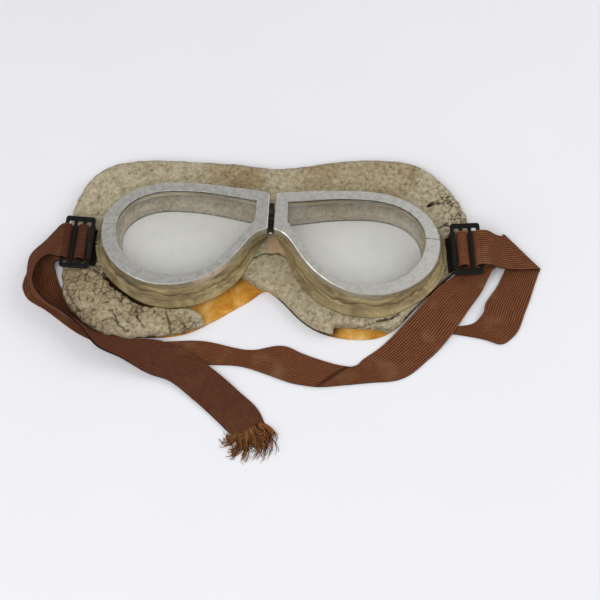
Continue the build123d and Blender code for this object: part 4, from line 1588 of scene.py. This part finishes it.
MAIN_SHARES: tuple[Row, ...] = (
    ((1.010, 0.140, 0.757), (1.055, -0.060, 0.757)), ((1.035, 0.158, 0.757), (1.150, -0.040, 0.757)),
    ((1.045, 0.160, 0.748), (1.161, -0.040, 0.748)), ((1.050, 0.158, 0.700), (1.166, -0.041, 0.700)),
    ((1.044, 0.153, 0.650), (1.163, -0.044, 0.650)), ((1.028, 0.140, 0.640), (1.156, -0.047, 0.634)),
    ((0.988, 0.030, 0.642), (1.140, -0.075, 0.515)), ((0.970, -0.072, 0.642), (1.105, -0.150, 0.290)),
    ((0.870, -0.168, 0.600), (1.035, -0.260, 0.170)), ((0.735, -0.325, 0.260), (0.955, -0.395, 0.120)),
    ((0.605, -0.470, 0.015), (0.845, -0.530, 0.010)), ((0.500, -0.560, 0.000), (0.670, -0.662, 0.000)),
    ((0.480, -0.585, 0.010), (0.545, -0.680, 0.000)), ((0.455, -0.597, 0.030), (0.420, -0.700, 0.010)),
    ((0.435, -0.600, 0.035), (0.305, -0.717, 0.020)), ((0.365, -0.590, 0.010), (0.190, -0.710, 0.000)),
    ((0.195, -0.540, 0.000), (0.085, -0.685, 0.000)), ((0.115, -0.507, 0.000), (0.040, -0.670, 0.000)),
    ((-0.065, -0.535, 0.000), (-0.100, -0.630, 0.000)), ((-0.310, -0.500, 0.000), (-0.335, -0.625, 0.000)),
    ((-0.600, -0.515, 0.000), (-0.640, -0.585, 0.000)), ((-0.900, -0.455, 0.000), (-0.955, -0.495, 0.000)),
    ((-1.015, -0.352, 0.000), (-1.135, -0.375, 0.000)), ((-1.078, -0.240, 0.000), (-1.260, -0.290, 0.000)),
    ((-1.095, -0.205, 0.010), (-1.278, -0.245, 0.000)), ((-1.110, -0.165, 0.060), (-1.265, -0.165, 0.030)),
    ((-1.120, -0.137, 0.400), (-1.195, -0.040, 0.315)), ((-1.090, -0.130, 0.730), (-1.108, 0.045, 0.715)),
)
LEFT_TAIL_SHARES: tuple[Row, ...] = (
    ((-1.086, -0.134, 1.127), (-1.088, 0.055, 1.090)), ((-1.113, -0.130, 1.210), (-1.118, 0.028, 0.940)),
    ((-1.144, -0.138, 1.245), (-1.160, -0.010, 0.715)), ((-1.193, -0.207, 1.170), (-1.250, -0.083, 0.255)),
    ((-1.198, -0.257, 1.135), (-1.258, -0.142, 0.155)), ((-1.185, -0.306, 1.120), (-1.250, -0.210, 0.127)),
    ((-1.148, -0.353, 1.105), (-1.223, -0.272, 0.127)), ((-1.020, -0.438, 1.060), (-1.075, -0.376, 0.127)),
    ((-0.936, -0.501, 1.030), (-0.981, -0.424, 0.127)), ((-0.835, -0.604, 0.910), (-0.866, -0.486, 0.157)),
    ((-0.720, -0.645, 0.650), (-0.720, -0.511, 0.165)), ((-0.560, -0.708, 0.195), (-0.510, -0.522, 0.150)),
    ((-0.488, -0.724, 0.120), (-0.420, -0.555, 0.150)), ((-0.340, -0.822, 0.030), (-0.236, -0.668, 0.120)),
    ((-0.250, -0.895, 0.000), (-0.110, -0.768, 0.030)), ((-0.165, -0.972, 0.000), (-0.008, -0.860, 0.000)),
    ((-0.109, -1.025, 0.000), (0.032, -0.935, 0.000)),
)


@dataclass
class HeadStrap:
    """The ribbed strap: one ribbon from its right tail through both slides to its frayed left tail.

    Sizes are in millimetres. The run between the slides is cut into three stretches, at the station
    where it reaches the table and at the one where it leaves it.
    """

    half_span: float = 100.0
    rest: float = 0.8
    width: float = STRAP_WIDTH
    thickness: float = 1.2
    clear: float = 0.35
    first_slot: float = 2.5
    under: float = 3.25
    pace: float = 1.1
    down_station: int = 9
    up_station: int = 20
    # Line, reach and strength of the painted shade along the middle stretch's fold.
    crease: Line = ((25.0, -74.0), (36.0, -65.0), (46.0, -58.0))
    crease_reach: float = 1.5
    crease_dark: float = 0.8
    threads: int = 210
    inset: float = 2.0
    tips: Line = (
        (-17.0, -104.0), (-12.0, -112.5), (-5.0, -116.0), (1.5, -110.5), (7.0, -107.0), (9.5, -101.0),
    )
    fine: np.ndarray = field(init=False)
    edges: tuple[np.ndarray, np.ndarray] = field(init=False)
    marks: dict[str, float] = field(init=False)

    def run(self, shares: tuple[Row, ...]) -> np.ndarray:
        """Turns shares of the half span and of the slide's height into places.

        Args:
            shares: left and right edge of each station.

        Returns:
            An array of stations by two edges by three numbers, in millimetres.
        """
        rows = np.array(shares)
        rise = LEFT_SLIDE.z - self.rest
        return rows * (self.half_span, self.half_span, rise) + (0, 0, self.rest)

    def woven(self, place: SlidePlace) -> np.ndarray:
        """Stations through a slide, from outside: over the outer bar, under the third, over the second, down.

        Each turn between two bars is a quarter wave whose height is the strap's rise over a bar.

        Args:
            place: the slide.

        Returns:
            Stations as run() gives them.
        """
        pitch = place.bar + place.slot
        outer, half = place.width / 2 - place.bar / 2, pitch / 2
        rise = place.thickness / 2 + self.clear + self.thickness / 2
        a = np.radians([0.0, 35.0, 65.0, 90.0])
        b = a[::-1][1:]
        third, second = outer - pitch, outer - 2 * pitch
        reach = second + outer - self.first_slot
        foot, turn = self.first_slot - outer, self.under / 2
        bend = math.radians(50)
        s = np.concatenate([
            outer - half * np.sin(a), third + half * np.sin(b), third - half * np.sin(a[1:]),
            second + half * np.sin(b), second - reach * np.sin(a[1:]),
            [foot, foot + turn * (1 - math.cos(bend)), foot + turn, foot + 2 * turn],
        ])
        z = np.concatenate([
            rise * np.cos(a), -rise * np.cos(b), -rise * np.cos(a[1:]),
            rise * np.cos(b), rise * np.cos(a[1:]),
            [-turn, -turn - turn * math.sin(bend), -self.under, -self.under],
        ])
        w = np.full_like(s, self.width / 2)
        return np.stack([place.at(s, w, z), place.at(s, -w, z)], axis=1)

    def lay(self) -> None:
        """Joins the runs into one course and samples both edges at an even pace."""
        right, left = self.woven(RIGHT_SLIDE), self.woven(LEFT_SLIDE)[::-1]
        runs = [self.run(RIGHT_TAIL_SHARES), right, self.run(MAIN_SHARES), left, self.run(LEFT_TAIL_SHARES)]
        course = np.concatenate(runs)
        middle = course.mean(axis=1)
        steps = np.linalg.norm(np.diff(middle, axis=0), axis=1)
        wide = np.linalg.norm(np.diff(course, axis=0), axis=2).max(axis=1)
        times = np.concatenate([[0.0], np.cumsum(np.maximum(steps, 0.5 * wide) + 1e-3)])
        ends = np.cumsum([len(r) for r in runs])
        self.marks = {
            "right_in": times[ends[0]], "right_out": times[ends[1] - 1],
            "left_in": times[ends[2]], "left_out": times[ends[3] - 1], "end": times[-1],
        }
        self.marks["right_down"] = times[ends[1] + self.down_station]
        self.marks["left_up"] = times[ends[1] + self.up_station]
        self.fine = np.linspace(0, times[-1], int(times[-1] / self.pace))
        self.edges = tuple(curve_through(course[:, side], times, self.fine) for side in (0, 1))

    def stretch(
        self, shop: Workshop, name: str, start: float, end: float, plain: bool = False
    ) -> bpy.types.Object:
        """Args:
            shop: the finishes and the frame.
            name: the stretch's name.
            start: where it begins along the course.
            end: where it ends.
            plain: True where the smooth woven face shows.

        Returns:
            The stretch.
        """
        first = int(np.argmin(np.abs(self.fine - start)))
        last = int(np.argmin(np.abs(self.fine - end)))
        left, right = (edge[first : last + 1] for edge in self.edges)
        before = float(row_length(np.stack(self.edges, axis=1))[first])
        cords, groove = (25, 0.22) if plain else (17, 0.26)
        cloth = Band(self.thickness, cords, groove)
        obj = cloth.mesh(name, left, right, before)
        shop.finish_piece(obj, Slot.STRAP, shop.plain_weave if plain else None)
        return obj

    def frayed_end(self, shop: Workshop) -> bpy.types.Object:
        """Bundles of loose yarn at the left tail's end.

        Six bundles leave the cut end; each thread keeps near its bundle's way with a little scatter.

        Args:
            shop: the finishes and the frame.

        Returns:
            The yarn.
        """
        rng = np.random.default_rng(Seed.YARN)
        a, b = self.edges[0][-1], self.edges[1][-1]
        tips = np.array(self.tips)
        count = self.threads
        share = rng.uniform(0.02, 0.98, count)
        bundle = np.clip((share * len(tips) + rng.normal(0, 0.35, count)).astype(int), 0, len(tips) - 1)
        scatter = np.stack(
            [rng.normal(0, 0.3, count), rng.normal(0, 0.3, count), rng.uniform(-0.4, 0.7, count)], axis=1
        )
        back = np.array([-0.62, 0.78, 0.0]) * self.inset
        roots = a + (b - a) * share[:, None] + scatter + back
        aim = np.column_stack([tips[bundle], np.full(count, 0.6)])
        aim = aim + rng.normal(0, 1.1, (count, 3)) * (1, 1, 0.5)
        ways = (aim - roots) * rng.uniform(0.55, 1.0, count)[:, None]
        ways[:, 2] = rng.uniform(0.2, 1.6, count)
        bends = np.stack(
            [rng.normal(0, 1.3, count), rng.normal(0, 1.3, count), rng.uniform(-2.2, -0.4, count)], axis=1
        )
        obj = Tuft(thickness=0.62, steps=12, curl=2.4).mesh("strap_fray", roots, ways, bends, 0.45)
        shop.finish_piece(obj, Slot.STRAP, shop.loose_yarn)
        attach(obj, "left_side")
        return obj

    def build(self, shop: Workshop) -> None:
        """Makes the strap's stretches, cut at the slides and where the run meets and leaves the table.
        Makes the strap's stretches, each bending across one joint at most.

        Args:
            shop: the finishes and the frame.
        """
        self.lay()
        m = self.marks
        fray = self.frayed_end(shop)
        tail = self.stretch(shop, "strap_right_tail", 0.0, m["right_in"])
        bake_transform(tail)
        woven = self.stretch(shop, "strap_right_woven", m["right_in"], m["right_out"])
        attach(woven, "right_slide_body")
        down = self.stretch(shop, "strap_right_run", m["right_out"], m["right_down"])
        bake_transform(down)
        middle = self.stretch(shop, "strap_middle", m["right_down"], m["left_up"])
        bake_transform(middle)
        # Painted shade along the fold where the middle stretch turns over.
        cloth = coordinates(middle.data)
        reach = np.full(len(cloth), self.crease_reach)
        set_field(middle.data, "crease", self.crease_dark * line_mask(cloth, self.crease, reach))
        rise = self.stretch(shop, "strap_left_run", m["left_up"], m["left_in"])
        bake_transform(rise)
        # This stretch wears the darker copy of the cloth, painted shade between the slide's bars.
        through = self.stretch(shop, "strap_left_woven", m["left_in"], m["left_out"])
        dress(through, shop.shaded_weave)
        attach(through, "left_slide_body")
        end = self.stretch(shop, "strap_left_tail", m["left_out"], m["end"], plain=True)
        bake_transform(end)
        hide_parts("head_strap")
        length = row_length(np.stack(self.edges, axis=1))[-1]
        log.info("strap course %.0f mm, fray of %d faces", length, len(fray.data.polygons))


# ---------------------------------------------------------------- studio


@dataclass
class Studio:
    """Plain pale floor, three large soft lamps, an even sky and the camera.

    The camera stands as the photo's own did, its tilt and roll in degrees. The floor's half side is
    in millimetres.
    """

    camera_at: Place = (0.03592, -0.36948, 0.75317)
    tilt: float = 24.7
    roll: float = 3.2
    lens: float = 96.0
    film_width: float = 36.0
    sky: float = 0.50
    floor_side: float = 1200.0

    def lamp(self, name: str, place: Place, size: float, power: float) -> None:
        """Adds a square soft lamp that faces the object's middle.

        Args:
            name: the lamp's name.
            place: where it stands, in metres.
            size: its side, in metres.
            power: its power, in watts.
        """
        data = bpy.data.lights.new(name, "AREA")
        data.shape, data.size, data.energy = "SQUARE", size, power
        obj = bpy.data.objects.new(name, data)
        obj.location = place
        way = -obj.location.normalized()
        obj.rotation_euler = way.to_track_quat("-Z", "Y").to_euler()
        bpy.context.scene.collection.objects.link(obj)

    def build(self) -> None:
        """Sets the floor, lamps, sky and camera."""
        scene = bpy.context.scene
        scene.view_settings.view_transform = "Standard"
        corners = self.floor_side * np.array([[-1, -1, 0], [1, -1, 0], [1, 1, 0], [-1, 1, 0]])
        floor = new_object("paper_floor", corners, [[0, 1, 2, 3]])
        dress(floor, Paper("pale_board").build())
        self.lamp("soft_key", (0.95, 0.25, 0.85), size=0.9, power=6.0)
        self.lamp("soft_fill", (-0.85, -0.60, 0.80), size=0.9, power=4.0)
        self.lamp("soft_top", (-0.10, -0.62, 1.10), size=0.7, power=6.0)
        world = bpy.data.worlds.new("even_sky")
        world.use_nodes = True
        background = world.node_tree.nodes["Background"]
        background.inputs["Color"].default_value = linear("#F2F3F6")
        background.inputs["Strength"].default_value = self.sky
        scene.world = world
        data = bpy.data.cameras.new("studio_camera")
        data.lens, data.sensor_width = self.lens, self.film_width
        camera = bpy.data.objects.new("studio_camera", data)
        camera.location = self.camera_at
        camera.rotation_euler = (math.radians(self.tilt), 0.0, math.radians(self.roll))
        scene.collection.objects.link(camera)
        scene.camera = camera


def main() -> None:
    """Loads the frame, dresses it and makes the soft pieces."""
    logging.basicConfig(level=logging.INFO, format="%(name)s: %(message)s")
    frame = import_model()
    Studio().build()
    shop = Workshop(frame)
    shop.dress_frame()
    log.info("frame dressed: %d nodes", len(frame["nodes"]))
    lining = Lining().build(shop)
    log.info("lining: %d faces", len(lining.data.polygons))
    pad = FacePad().build(shop)
    log.info("pad: %d faces", len(pad.data.polygons))
    SlideTab("left", LEFT_SLIDE, seed=5).build(shop)
    SlideTab("right", RIGHT_SLIDE, seed=9).build(shop)
    log.info("tabs made")
    HeadStrap().build(shop)


if __name__ == "__main__":
    main()
